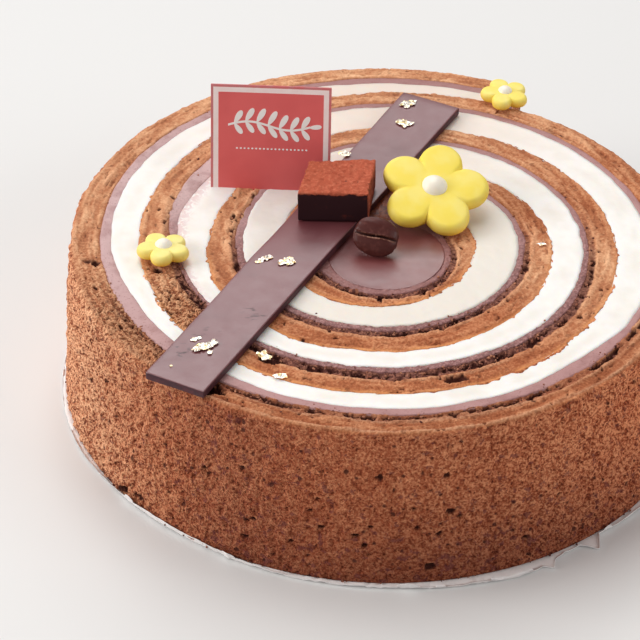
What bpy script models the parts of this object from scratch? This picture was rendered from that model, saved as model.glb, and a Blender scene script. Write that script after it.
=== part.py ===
"""A rolled tiramisu cake standing on its baking paper, with its toppings.

A strip of sponge is spread with chocolate cream and white cream, wound round a core of
ganache and stood on end, so that the layers show on top as one long spiral. Metres, +Z up.
The origin is the middle of the underside, and the cake's front faces -Y.
"""

from math import cos, exp, pi, radians, sin, sqrt

import bmesh
import bpy
from mathutils import Matrix, Vector

mm = 0.001
gap = 0.3 * mm  # between pieces that touch

# The whole cake
cake_radius = 75 * mm  # at the top
cake_height = 42 * mm
base_spread = 1.036  # radius of the foot over radius of the top
paper_thickness = 0.3 * mm
cake_foot = paper_thickness + gap
cake_top = cake_foot + cake_height

# The roll, in parts of the cake's radius, against turns counted inwards from the outer end
roll_turns = 3.95
steps_per_turn = 56
outer_end_angle = radians(62)
roll_start = 1.0994
roll_pitch = 0.1972
roll_tightening = 0.0057
shift_x = (0.025, 0.007)  # the turns lie off centre: at the outer end, and more per turn
shift_y = (-0.0224, -0.0068)
oval_square = (0.007, -0.005)  # and they are slightly oval, square to X and across it
oval_diagonal = (-0.012, 0.0077)
end_tuck = 0.0584  # the outer end is pressed in against the next turn
end_tuck_turns = 0.9
sponge_thickness = 0.085
sponge_front_extra = 0.015  # thicker towards the front, thinner at the back
sponge_heavy_side = radians(255)
inner_end_extra = 0.045
inner_end_turn = 3.72
chocolate_thickness = 0.019
chocolate_outer_extra = 0.012  # spread thicker over the first turn
chocolate_thick_spots = ((0.41, 0.020, 0.07), (0.73, 0.018, 0.05), (1.24, 0.038, 0.06))  # turn, extra, width
white_turns = 3.40  # where the white cream pinches out against the core

# The ganache core and the ring of chocolate cream round it, in parts of the cake's radius
core_centre = (0.020, -0.099)
core_radius = 0.183
ring_centre = (0.0136, -0.096)
ring_radius = 0.2104

# The chocolate strip laid across the top, cut a little wider at its far end
strip_near = (-45.6 * mm, -60.5 * mm)
strip_far = (12.6 * mm, 56.9 * mm)
strip_near_width = 15.3 * mm
strip_far_width = 16.1 * mm
strip_thickness = 2.0 * mm
strip_top = cake_top + gap + strip_thickness

# The cocoa square on the strip, cut by hand and so out of square
square_corners = (
    (-20.2 * mm, 1.8 * mm),
    (-2.9 * mm, 1.8 * mm),
    (-1.2 * mm, 17.1 * mm),
    (-17.9 * mm, 15.7 * mm),
)
square_height = 8.4 * mm

# The coffee bean that leans back on the ganache
bean_size = (11.0 * mm, 9.4 * mm, 5.6 * mm)
bean_place = (-1.0 * mm, -6.4 * mm, cake_top + 4.3 * mm)
bean_lean = radians(50)
bean_roll = radians(-13)
bean_flatness = 0.62  # height of the creased face, in parts of half the thickness
bean_groove = 0.35  # depth of the crease, in the same parts
bean_groove_width = 0.16  # in parts of half the bean's width

# The sugar flowers, each with its place above the cake's top, its tilt and its pearl
petals = 5
petal_reach = 0.61  # middle of a petal, in parts of the flower's radius
petal_round = 0.39
flower_rounding = 0.3  # of its edges, in parts of its thickness
pearl_rise = 0.8 * mm  # middle of a pearl above the middle of its flower
pearl_foot = 0.6  # a pearl is flat underneath, this part of its radius below its middle
flowers = {
    "large": {
        "radius": 13.5 * mm,
        "thickness": 4.2 * mm,
        "place": (12.9 * mm, 10.2 * mm, 6.4 * mm),
        "nod": radians(18.5),  # towards the front
        "lean": radians(3.5),  # towards the right
        "turn": radians(7.6),
        "pearl_radius": 3.4 * mm,
    },
    "left": {
        "radius": 6.5 * mm,
        "thickness": 2.8 * mm,
        "place": (-51.6 * mm, -10.3 * mm, 2.3 * mm),
        "nod": radians(-5),
        "lean": radians(2),
        "turn": radians(50),
        "pearl_radius": 2.2 * mm,
    },
    "back": {
        "radius": 6.3 * mm,
        "thickness": 2.6 * mm,
        "place": (31.5 * mm, 60.2 * mm, 2.0 * mm),
        "nod": radians(0),
        "lean": radians(3),
        "turn": radians(40),
        "pearl_radius": 2.0 * mm,
    },
}

# The greeting card stuck into the top
card_size = (29.5 * mm, 0.5 * mm, 30.0 * mm)
card_depth = 3.3 * mm  # how much of it is inside the cake
card_corner = (-42.1 * mm, 19.6 * mm)  # its left edge, where it enters
card_turn = radians(-2)
card_lean = radians(14)

# The baking paper under the cake, and the part of its rim that runs wide
paper_radius = 79.3 * mm
paper_margin = 1.4 * mm  # the least that shows beyond the sponge's foot
paper_wide = 3.2 * mm
paper_wide_angle = 293
paper_wide_spread = 14
paper_lip = 1.6 * mm
paper_lip_waves = ((5, 0.5 * mm, 20), (11, 0.4 * mm, 70))  # waves round the rim, height, phase
paper_steps = 80
paper_rings = ((40 * mm, 0), (1.0 * mm, 0), (0.4 * mm, 0.35), (0, 1))  # inset, part of the lip's height


def fresh_scene():
    for item in list(bpy.data.objects):
        bpy.data.objects.remove(item, do_unlink=True)


def collection(name):
    made = bpy.data.collections.new(name)
    bpy.context.scene.collection.children.link(made)
    return made


def finish(name, colour, roughness, metallic=0.0):
    material = bpy.data.materials.new(name)
    material.use_nodes = True
    shader = material.node_tree.nodes["Principled BSDF"]
    shader.inputs["Base Color"].default_value = (*colour, 1)
    shader.inputs["Roughness"].default_value = roughness
    shader.inputs["Metallic"].default_value = metallic
    return material


def add_piece(piece, name, material, group):
    """Names a new object, gives it its material and puts it in its collection alone."""
    piece.name = name
    piece.data.name = name
    piece.data.materials.clear()
    piece.data.materials.append(material)
    for holder in list(piece.users_collection):
        holder.objects.unlink(piece)
    group.objects.link(piece)
    return piece


def smooth(piece, angle=radians(40)):
    piece.data.shade_smooth()
    piece.data.set_sharp_from_angle(angle=angle)


def flat_outline(points, thickness, bottom, rounding=0.0):
    """A closed outline filled top and bottom, as a curve that stands on `bottom`."""
    curve = bpy.data.curves.new("outline", "CURVE")
    curve.dimensions = "2D"
    curve.fill_mode = "BOTH"
    curve.extrude = thickness / 2 - rounding
    curve.bevel_depth = rounding
    curve.bevel_resolution = 1
    curve.offset = -rounding
    spline = curve.splines.new("POLY")
    spline.points.add(len(points) - 1)
    for point, (x, y) in zip(spline.points, points):
        point.co = (x, y, 0, 1)
    spline.use_cyclic_u = True
    made = bpy.data.objects.new("outline", curve)
    bpy.context.scene.collection.objects.link(made)
    made.location.z = bottom + thickness / 2
    return made


def as_mesh(curve_object):
    """The curve's evaluated shape as a mesh object with its caps welded on."""
    bpy.context.view_layer.update()
    graph = bpy.context.evaluated_depsgraph_get()
    mesh = bpy.data.meshes.new_from_object(curve_object.evaluated_get(graph))
    work = bmesh.new()
    work.from_mesh(mesh)
    bmesh.ops.remove_doubles(work, verts=work.verts, dist=0.01 * mm)
    work.to_mesh(mesh)
    work.free()
    made = bpy.data.objects.new(curve_object.name, mesh)
    bpy.context.scene.collection.objects.link(made)
    made.matrix_world = curve_object.matrix_world.copy()
    bpy.data.objects.remove(curve_object, do_unlink=True)
    return made


def block(size):
    """A box of the given size round the origin, with its scale applied."""
    bpy.ops.mesh.primitive_cube_add(size=1)
    made = bpy.context.object
    made.data.transform(Matrix.Diagonal((*size, 1)))
    return made


def cut(piece, cutter):
    boolean = piece.modifiers.new(cutter.name, "BOOLEAN")
    boolean.operation = "DIFFERENCE"
    boolean.object = cutter


def make_cutter(piece, name, group):
    piece.name = name
    piece.hide_render = True
    piece.display_type = "WIRE"
    for holder in list(piece.users_collection):
        holder.objects.unlink(piece)
    group.objects.link(piece)
    return piece


# Faces of the roll, as distances from the cake's axis


def turn_angle(turn):
    return outer_end_angle + 2 * pi * turn


def circle_face(centre, radius, angle):
    """Distance from the cake's axis to a circle that encloses it, in the direction of angle."""
    along = centre[0] * cos(angle) + centre[1] * sin(angle)
    return along + sqrt(along**2 + radius**2 - centre[0] ** 2 - centre[1] ** 2)


def sponge_outer(turn):
    angle = turn_angle(turn)
    wound = roll_start - roll_pitch * turn - roll_tightening * turn**2
    shift = (shift_x[0] + shift_x[1] * turn) * cos(angle) + (shift_y[0] + shift_y[1] * turn) * sin(angle)
    oval = (oval_square[0] + oval_square[1] * turn) * cos(2 * angle)
    oval += (oval_diagonal[0] + oval_diagonal[1] * turn) * sin(2 * angle)
    tuck = end_tuck * max(0, 1 - turn / end_tuck_turns) ** 2
    return wound + shift + oval - tuck


def sponge_inner(turn):
    angle = turn_angle(turn)
    thickness = sponge_thickness + sponge_front_extra * cos(angle - sponge_heavy_side)
    thickness += inner_end_extra * min(1, max(0, turn - inner_end_turn) / (roll_turns - inner_end_turn))
    return max(sponge_outer(turn) - thickness, circle_face(ring_centre, ring_radius, angle))


def chocolate_inner(turn):
    core = circle_face(core_centre, core_radius, turn_angle(turn))
    if turn > white_turns:
        return core
    thickness = chocolate_thickness + chocolate_outer_extra * max(0, 1 - turn)
    for spot, extra, width in chocolate_thick_spots:
        thickness += extra * exp(-(((turn - spot) / width) ** 2))
    return max(sponge_inner(turn) - thickness, core)


def white_inner(turn):
    if turn + 1 <= roll_turns:
        return sponge_outer(turn + 1)
    return circle_face(core_centre, core_radius, turn_angle(turn))


def turns_between(first, last):
    """The turns at which a layer is drawn: whole steps, and both of its ends."""
    whole = [n / steps_per_turn for n in range(int(roll_turns * steps_per_turn) + 1)]
    return [first] + [t for t in whole if first + 0.001 < t < last - 0.001] + [last]


def polar(turn, radius):
    return (radius * cos(turn_angle(turn)), radius * sin(turn_angle(turn)))


def tapered(slab):
    """Spreads a slab's foot, so that it measures true at the top and base_spread at the foot."""
    spread = slab.modifiers.new("spread", "SIMPLE_DEFORM")
    spread.deform_method = "TAPER"
    spread.deform_axis = "Z"
    spread.factor = 2 * (1 - base_spread) / (1 + base_spread)
    made = as_mesh(slab)
    middle = (1 + base_spread) / 2
    made.data.transform(Matrix.Diagonal((middle, middle, 1, 1)))
    return made


def layer(outer, inner, last):
    """One layer of the roll: out along its outer face and back along its inner face."""
    stops = turns_between(0, last)
    there = [polar(t, cake_radius * outer(t) - gap / 2) for t in stops]
    back = [polar(t, cake_radius * inner(t) + gap / 2) for t in reversed(stops)]
    return tapered(flat_outline(there + back, cake_height, cake_foot))


def sponge_roll(material, group):
    roll = layer(sponge_outer, sponge_inner, roll_turns)
    return add_piece(roll, "sponge_roll", material, group)


def chocolate_cream(material, group):
    """Both the spread and the ring round the core; it steps inwards where the white cream ends."""
    step = gap / (cake_radius * core_radius * 2 * pi)
    stops = turns_between(0, white_turns) + turns_between(white_turns + step, roll_turns)
    there = [polar(t, cake_radius * sponge_inner(t) - gap / 2) for t in stops]
    back = [polar(t, cake_radius * chocolate_inner(t) + gap / 2) for t in reversed(stops)]
    cream = tapered(flat_outline(there + back, cake_height, cake_foot))
    return add_piece(cream, "chocolate_cream", material, group)


def white_cream(material, group):
    """It follows the sponge inside it, then laps round the sponge's inner end to the core."""
    sponge_end = roll_turns - 1
    step = gap / (cake_radius * core_radius * 2 * pi)
    last = white_turns - step
    there = [polar(t, cake_radius * chocolate_inner(t) - gap / 2) for t in turns_between(0, last)]
    back = [polar(t, cake_radius * white_inner(t) + gap / 2) for t in turns_between(0, sponge_end)]
    back[-1] = polar(sponge_end + step, cake_radius * sponge_outer(roll_turns) + gap / 2)
    back += [polar(t, cake_radius * white_inner(t) + gap / 2) for t in turns_between(sponge_end + step, last)]
    cream = tapered(flat_outline(there + back[::-1], cake_height, cake_foot))
    return add_piece(cream, "white_cream", material, group)


def ganache_core(material, group):
    radius = cake_radius * core_radius - gap
    points = []
    for n in range(steps_per_turn):
        angle = 2 * pi * n / steps_per_turn
        x = cake_radius * core_centre[0] + radius * cos(angle)
        y = cake_radius * core_centre[1] + radius * sin(angle)
        points.append((x, y))
    core = tapered(flat_outline(points, cake_height, cake_foot))
    return add_piece(core, "ganache_core", material, group)


def strip_corners():
    """The strip's outline: its middle line, with half of each end's width to either side."""
    near, far = Vector(strip_near), Vector(strip_far)
    across = (far - near).normalized().orthogonal()
    near_half, far_half = across * strip_near_width / 2, across * strip_far_width / 2
    return (near + near_half, near - near_half, far - far_half, far + far_half)


def cut_block(corners, thickness, bottom, rounding):
    """A block with four corners of its own and rounded edges."""
    made = as_mesh(flat_outline(corners, thickness, bottom))
    rounded = made.modifiers.new("rounded edges", "BEVEL")
    rounded.width = rounding
    rounded.segments = 2
    return made


def chocolate_strip(material, group):
    strip = cut_block(strip_corners(), strip_thickness, cake_top + gap, 0.4 * mm)
    return add_piece(strip, "chocolate_strip", material, group)


def cocoa_square(material, group):
    square = cut_block(square_corners, square_height, strip_top + gap, 0.8 * mm)
    return add_piece(square, "cocoa_square", material, group)


def coffee_bean(material, group):
    """An oval with one flattened face, and the crease along it."""
    bpy.ops.mesh.primitive_uv_sphere_add(segments=24, ring_count=12, radius=1)
    bean = bpy.context.object
    for vertex in bean.data.vertices:
        x, y, z = vertex.co
        if z > 0:
            crease = bean_groove * exp(-((y / bean_groove_width) ** 2)) * (1 - x**2)
            z *= bean_flatness - crease
        vertex.co = (x * bean_size[0] / 2, y * bean_size[1] / 2, z * bean_size[2] / 2)
    place = Matrix.Translation(bean_place)
    place @= Matrix.Rotation(bean_lean, 4, "X") @ Matrix.Rotation(bean_roll, 4, "Z")
    bean.matrix_world = place
    smooth(bean)
    return add_piece(bean, "coffee_bean", material, group)


def flower_outline(radius):
    """A ring of round petals: the distance to the petal's circle, from one notch to the next."""
    per_petal = 7
    points = []
    for n in range(petals * per_petal):
        angle = 2 * pi * n / (petals * per_petal)
        off_petal = (angle + pi / petals) % (2 * pi / petals) - pi / petals
        across = petal_reach * sin(off_petal)
        reach = petal_reach * cos(off_petal) + sqrt(petal_round**2 - across**2)
        points.append((radius * reach * cos(angle), radius * reach * sin(angle)))
    return points


def sugar_flower(name, flower_material, pearl_material, group, cutters):
    shape = flowers[name]
    x, y, height = shape["place"]
    thickness = shape["thickness"]
    place = Matrix.Translation((x, y, cake_top + height))
    place @= Matrix.Rotation(shape["lean"], 4, "Y") @ Matrix.Rotation(shape["nod"], 4, "X")
    place @= Matrix.Rotation(shape["turn"], 4, "Z")
    outline = flower_outline(shape["radius"])
    flower = as_mesh(flat_outline(outline, thickness, -thickness / 2, thickness * flower_rounding))
    flower.matrix_world = place
    add_piece(flower, "flower_" + name, flower_material, group)
    place = place @ Matrix.Translation((0, 0, pearl_rise))
    pearl_seat = pearl_shape(shape["pearl_radius"], gap, place)
    cut(flower, make_cutter(pearl_seat, "pearl_seat_" + name, cutters))
    pearl = pearl_shape(shape["pearl_radius"], 0, place)
    smooth(pearl)
    add_piece(pearl, "pearl_" + name, pearl_material, group)


def pearl_shape(radius, growth, place):
    """A ball with a flat foot, grown on all sides by `growth`."""
    bpy.ops.mesh.primitive_uv_sphere_add(segments=16, ring_count=8, radius=radius + growth)
    made = bpy.context.object
    for vertex in made.data.vertices:
        vertex.co.z = max(vertex.co.z, -radius * pearl_foot - growth)
    made.matrix_world = place
    return made


def card_place():
    """The card's own frame: its left foot at the origin, its width along X and its height along Z."""
    place = Matrix.Translation((*card_corner, cake_top))
    place @= Matrix.Rotation(card_turn, 4, "Z") @ Matrix.Rotation(-card_lean, 4, "X")
    return place @ Matrix.Translation((card_size[0] / 2, 0, card_size[2] / 2 - card_depth))


def greeting_card(material, group):
    card = block(card_size)
    card.matrix_world = card_place()
    return add_piece(card, "greeting_card", material, group)


def card_slot(group):
    slot = block([side + 2 * gap for side in card_size])
    slot.matrix_world = card_place()
    return make_cutter(slot, "card_slot", group)


def paper_rim(angle):
    """How far out the paper's edge lies, and how high it curls."""
    turn = ((angle - outer_end_angle) / (2 * pi)) % 1
    foot = cake_radius * sponge_outer(turn) * base_spread
    degrees = angle * 180 / pi
    wide = exp(-(((degrees - paper_wide_angle) / paper_wide_spread) ** 2))
    lip = paper_lip
    for waves, height, phase in paper_lip_waves:
        lip += height * sin(waves * angle + radians(phase))
    return max(foot + paper_margin, paper_radius + paper_wide * wide), lip


def baking_paper(material, group):
    """A flat round whose last millimetre curls up, as an open surface that is then thickened."""
    sheet = bpy.data.meshes.new("baking_paper")
    work = bmesh.new()
    middle = work.verts.new((0, 0, 0))
    rings = []
    for inset, rise in paper_rings:
        ring = []
        for n in range(paper_steps):
            angle = 2 * pi * n / paper_steps
            reach, lip = paper_rim(angle)
            out = reach - inset
            ring.append(work.verts.new((out * cos(angle), out * sin(angle), lip * rise)))
        rings.append(ring)
    for n in range(paper_steps):
        after = (n + 1) % paper_steps
        work.faces.new((middle, rings[0][n], rings[0][after]))
        for inner, outer in zip(rings, rings[1:]):
            work.faces.new((inner[n], outer[n], outer[after], inner[after]))
    work.to_mesh(sheet)
    work.free()
    paper = bpy.data.objects.new("baking_paper", sheet)
    bpy.context.scene.collection.objects.link(paper)
    thicken = paper.modifiers.new("paper", "SOLIDIFY")
    thicken.thickness = paper_thickness
    thicken.offset = 1
    return add_piece(paper, "baking_paper", material, group)


def build():
    fresh_scene()
    parts = collection("tiramisu_cake")
    cutters = collection("cutters")
    sponge = finish("sponge", (0.42, 0.19, 0.08), 0.95)
    chocolate = finish("chocolate cream", (0.38, 0.22, 0.21), 0.6)
    white = finish("white cream", (0.92, 0.88, 0.80), 0.5)
    ganache = finish("ganache", (0.30, 0.17, 0.17), 0.35)
    couverture = finish("chocolate strip", (0.32, 0.21, 0.22), 0.4)
    cocoa = finish("cocoa powder", (0.33, 0.10, 0.05), 1.0)
    roast = finish("roast bean", (0.06, 0.02, 0.02), 0.4)
    yellow = finish("yellow sugar", (0.90, 0.74, 0.15), 0.6)
    pearl = finish("sugar pearl", (0.88, 0.80, 0.68), 0.25)
    red = finish("red card", (0.55, 0.10, 0.10), 0.4)
    tissue = finish("baking paper", (0.75, 0.68, 0.66), 0.7)

    slot = card_slot(cutters)
    cut(sponge_roll(sponge, parts), slot)
    cut(chocolate_cream(chocolate, parts), slot)
    cut(white_cream(white, parts), slot)
    ganache_core(ganache, parts)
    cut(chocolate_strip(couverture, parts), slot)
    cocoa_square(cocoa, parts)
    coffee_bean(roast, parts)
    for name in flowers:
        sugar_flower(name, yellow, pearl, parts, cutters)
    greeting_card(red, parts)
    baking_paper(tissue, parts)


build()
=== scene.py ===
from itertools import product
from math import cos, hypot, pi, radians, sin

import bmesh
import bpy
import numpy as np
from mathutils import Euler, Matrix, Vector


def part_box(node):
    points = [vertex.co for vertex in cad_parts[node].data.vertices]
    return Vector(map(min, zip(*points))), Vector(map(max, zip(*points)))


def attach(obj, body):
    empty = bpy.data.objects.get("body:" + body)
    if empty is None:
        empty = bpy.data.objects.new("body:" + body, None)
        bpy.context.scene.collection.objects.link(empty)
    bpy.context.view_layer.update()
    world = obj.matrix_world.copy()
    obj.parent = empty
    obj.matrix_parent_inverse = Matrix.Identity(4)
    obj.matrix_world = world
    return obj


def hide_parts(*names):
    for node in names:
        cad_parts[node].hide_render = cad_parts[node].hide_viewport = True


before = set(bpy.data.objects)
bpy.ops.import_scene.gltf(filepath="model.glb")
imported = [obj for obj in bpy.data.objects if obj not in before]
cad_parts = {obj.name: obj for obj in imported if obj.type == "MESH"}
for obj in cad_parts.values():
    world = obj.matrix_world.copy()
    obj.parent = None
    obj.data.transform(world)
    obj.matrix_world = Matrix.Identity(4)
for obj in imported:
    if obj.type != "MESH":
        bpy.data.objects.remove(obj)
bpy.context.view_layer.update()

mm = 0.001
dice = np.random.default_rng(11)

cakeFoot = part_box("ganache_core")[0].z
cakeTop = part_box("ganache_core")[1].z
cakeHeight = cakeTop - cakeFoot
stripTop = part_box("chocolate_strip")[1].z
group = bpy.data.collections.new("tiramisuCake")
bpy.context.scene.collection.children.link(group)


stageLook = {
    "cameraPlace": (0, -0.5486, 0.4397),
    "cameraPan": 0.0264,
    "cameraTilt": 0.6569,
    "cameraRoll": 0.0020,
    "cameraLens": 157.5,
    # softboxes: degrees round from the right, degrees up, metres away, size in metres, watts, colour
    "overheadSoftbox": (112, 68, 2.0, (1.3, 1.1), 15.8, (1.0, 0.985, 0.965)),
    "backWindow": (97, 40, 2.2, (1.5, 0.75), 10, (1.0, 1.0, 1.0)),
    "leftFill": (187, 26, 2.0, (1.2, 1.0), 26, (1.0, 0.985, 0.96)),
    "rightFill": (340, 28, 2.2, (1.2, 1.0), 11.5, (1.0, 0.985, 0.97)),
    "frontFill": (256, 40, 2.2, (1.8, 1.4), 2.5, (1.0, 0.99, 0.98)),
    "sky": (1.0, 0.99, 0.985),
    "skyStrength": 0.25,
    "floorColour": (0.775, 0.772, 0.768),
    "floorSize": 8,  # metres
    "floorRoughness": 0.55,
}


def makeCamera(look):
    camera = bpy.data.objects.new("camera", bpy.data.cameras.new("camera"))
    camera.data.lens = look["cameraLens"]
    camera.data.clip_start = 0.01
    pan = Matrix.Rotation(look["cameraPan"], 4, "Z")
    turned = pan @ Matrix.Rotation(pi / 2 - look["cameraTilt"], 4, "X")
    rolled = Matrix.Rotation(look["cameraRoll"], 4, "Z")
    camera.matrix_world = Matrix.Translation(look["cameraPlace"]) @ turned @ rolled
    bpy.context.scene.collection.objects.link(camera)
    bpy.context.scene.camera = camera


def makeSoftbox(name, around, up, away, size, power, colour):
    light = bpy.data.lights.new(name, "AREA")
    light.shape = "RECTANGLE"
    light.size, light.size_y = size
    light.energy = power
    light.color = colour
    lamp = bpy.data.objects.new(name, light)
    flat = cos(radians(up)) * away
    height = cakeTop + sin(radians(up)) * away
    lamp.location = (flat * cos(radians(around)), flat * sin(radians(around)), height)
    lamp.rotation_euler = (Vector((0, 0, cakeTop)) - lamp.location).to_track_quat("-Z", "Y").to_euler()
    lamp.visible_camera = False
    bpy.context.scene.collection.objects.link(lamp)


def makeStage(look):
    makeCamera(look)
    for name in ("overheadSoftbox", "backWindow", "leftFill", "rightFill", "frontFill"):
        makeSoftbox(name, *look[name])
    world = bpy.data.worlds.new("studio")
    world.use_nodes = True
    sky = world.node_tree.nodes["Background"]
    sky.inputs["Color"].default_value = (*look["sky"], 1)
    sky.inputs["Strength"].default_value = look["skyStrength"]
    bpy.context.scene.world = world
    bpy.context.scene.view_settings.view_transform = "Standard"
    bpy.ops.mesh.primitive_plane_add(size=look["floorSize"])
    floor = bpy.context.object
    floor.name = "floor"
    paint = bpy.data.materials.new("pale floor")
    paint.use_nodes = True
    shader = paint.node_tree.nodes["Principled BSDF"]
    shader.inputs["Base Color"].default_value = (*look["floorColour"], 1)
    shader.inputs["Roughness"].default_value = look["floorRoughness"]
    floor.data.materials.append(paint)


makeStage(stageLook)
print("stage ready")


def hashed(cell, seed):
    # one number from 0 to 1 for each whole cell; the large primes only stir its three whole numbers
    mixed = cell[..., 0] * 73856093 ^ cell[..., 1] * 19349663 ^ cell[..., 2] * 83492791
    mixed = mixed ^ (seed * 2654435761)
    mixed = (mixed ^ (mixed >> 13)) * 1274126177
    return ((mixed ^ (mixed >> 16)) & 0xFFFF) / 65535.0


def softNoise(points, size, seed=0):
    # smooth noise from -1 to 1 whose features are about size across
    scaled = points / size
    cell = np.floor(scaled).astype(np.int64)
    part = scaled - cell
    part = part * part * (3 - 2 * part)
    total = 0
    for corner in product((0, 1), repeat=3):
        weight = 1
        for axis, step in enumerate(corner):
            weight = weight * np.abs(1 - step - part[..., axis])
        total = total + weight * hashed(cell + corner, seed)
    return total * 2 - 1


def grainNoise(points, size, seed=0):
    # distance to the nearest of scattered grains, 0 at a grain's middle and about 1 between grains
    scaled = points / size
    cell = np.floor(scaled).astype(np.int64)
    nearest = np.full(points.shape[:-1], 9.0)
    for step in product((-1, 0, 1), repeat=3):
        near = cell + step
        middle = near + np.stack([hashed(near, seed + k) for k in (1, 2, 3)], -1)
        nearest = np.minimum(nearest, ((scaled - middle) ** 2).sum(-1))
    return np.sqrt(nearest)


def ramp(value, low, high):
    # smooth step from 0 at low to 1 at high
    t = np.clip((value - low) / (high - low), 0, 1)
    return t * t * (3 - 2 * t)


def bell(value, middle, width):
    return np.exp(-(((value - middle) / width) ** 2))


def addPiece(name, mesh, material, slotName, *nodes):
    piece = bpy.data.objects.new(name, mesh)
    group.objects.link(piece)
    if material:
        mesh.materials.append(material)
    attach(piece, "root")
    if nodes:
        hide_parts(*nodes)
    return piece


def addAttributes(mesh, values):
    for name, value in values.items():
        held = mesh.attributes.new(name, "FLOAT", "POINT")
        held.data.foreach_set("value", np.asarray(value, np.float32).ravel())


def getPoints(mesh):
    points = np.zeros(len(mesh.vertices) * 3)
    mesh.vertices.foreach_get("co", points)
    return points.reshape(-1, 3)


def setPoints(mesh, points):
    mesh.vertices.foreach_set("co", points.ravel())


def takeMesh(name):
    # the mesh of the shape just added, without its object
    made = bpy.context.object
    mesh = made.data
    bpy.data.objects.remove(made)
    mesh.name = name
    return mesh


def tubeMesh(name, grid, values=None, closed=False):
    # grid holds points as station x section point x 3
    # the section is a loop, and the tube's ends are capped unless it is closed on itself
    count, around = grid.shape[:2]
    number = np.arange(count * around).reshape(count, around)
    nextNumber = np.roll(number, -1, 1)
    first = np.vstack([number, number[:1]]) if closed else number
    second = np.vstack([nextNumber, nextNumber[:1]]) if closed else nextNumber
    quads = np.stack([first[:-1], first[1:], second[1:], second[:-1]], -1).reshape(-1, 4)
    faces = quads.tolist()
    if not closed:
        faces.append(number[0].tolist())
        faces.append(number[-1][::-1].tolist())
    mesh = bpy.data.meshes.new(name)
    mesh.from_pydata(grid.reshape(-1, 3).tolist(), [], faces)
    mesh.update()
    if values:
        addAttributes(mesh, values)
    mesh.shade_smooth()
    if not closed:
        # the caps meet the sides at a crisp edge, so that shading runs on between two lengths
        ends = np.empty(len(mesh.edges) * 2, np.int32)
        mesh.edges.foreach_get("vertices", ends)
        ends = ends.reshape(-1, 2)
        crisp = (ends < around).all(1) | (ends >= (count - 1) * around).all(1)
        mesh.attributes.new("sharp_edge", "BOOLEAN", "EDGE").data.foreach_set("value", crisp)
    return mesh


def turnOutward(mesh):
    work = bmesh.new()
    work.from_mesh(mesh)
    bmesh.ops.recalc_face_normals(work, faces=work.faces)
    work.to_mesh(mesh)
    work.free()
    return mesh


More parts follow.
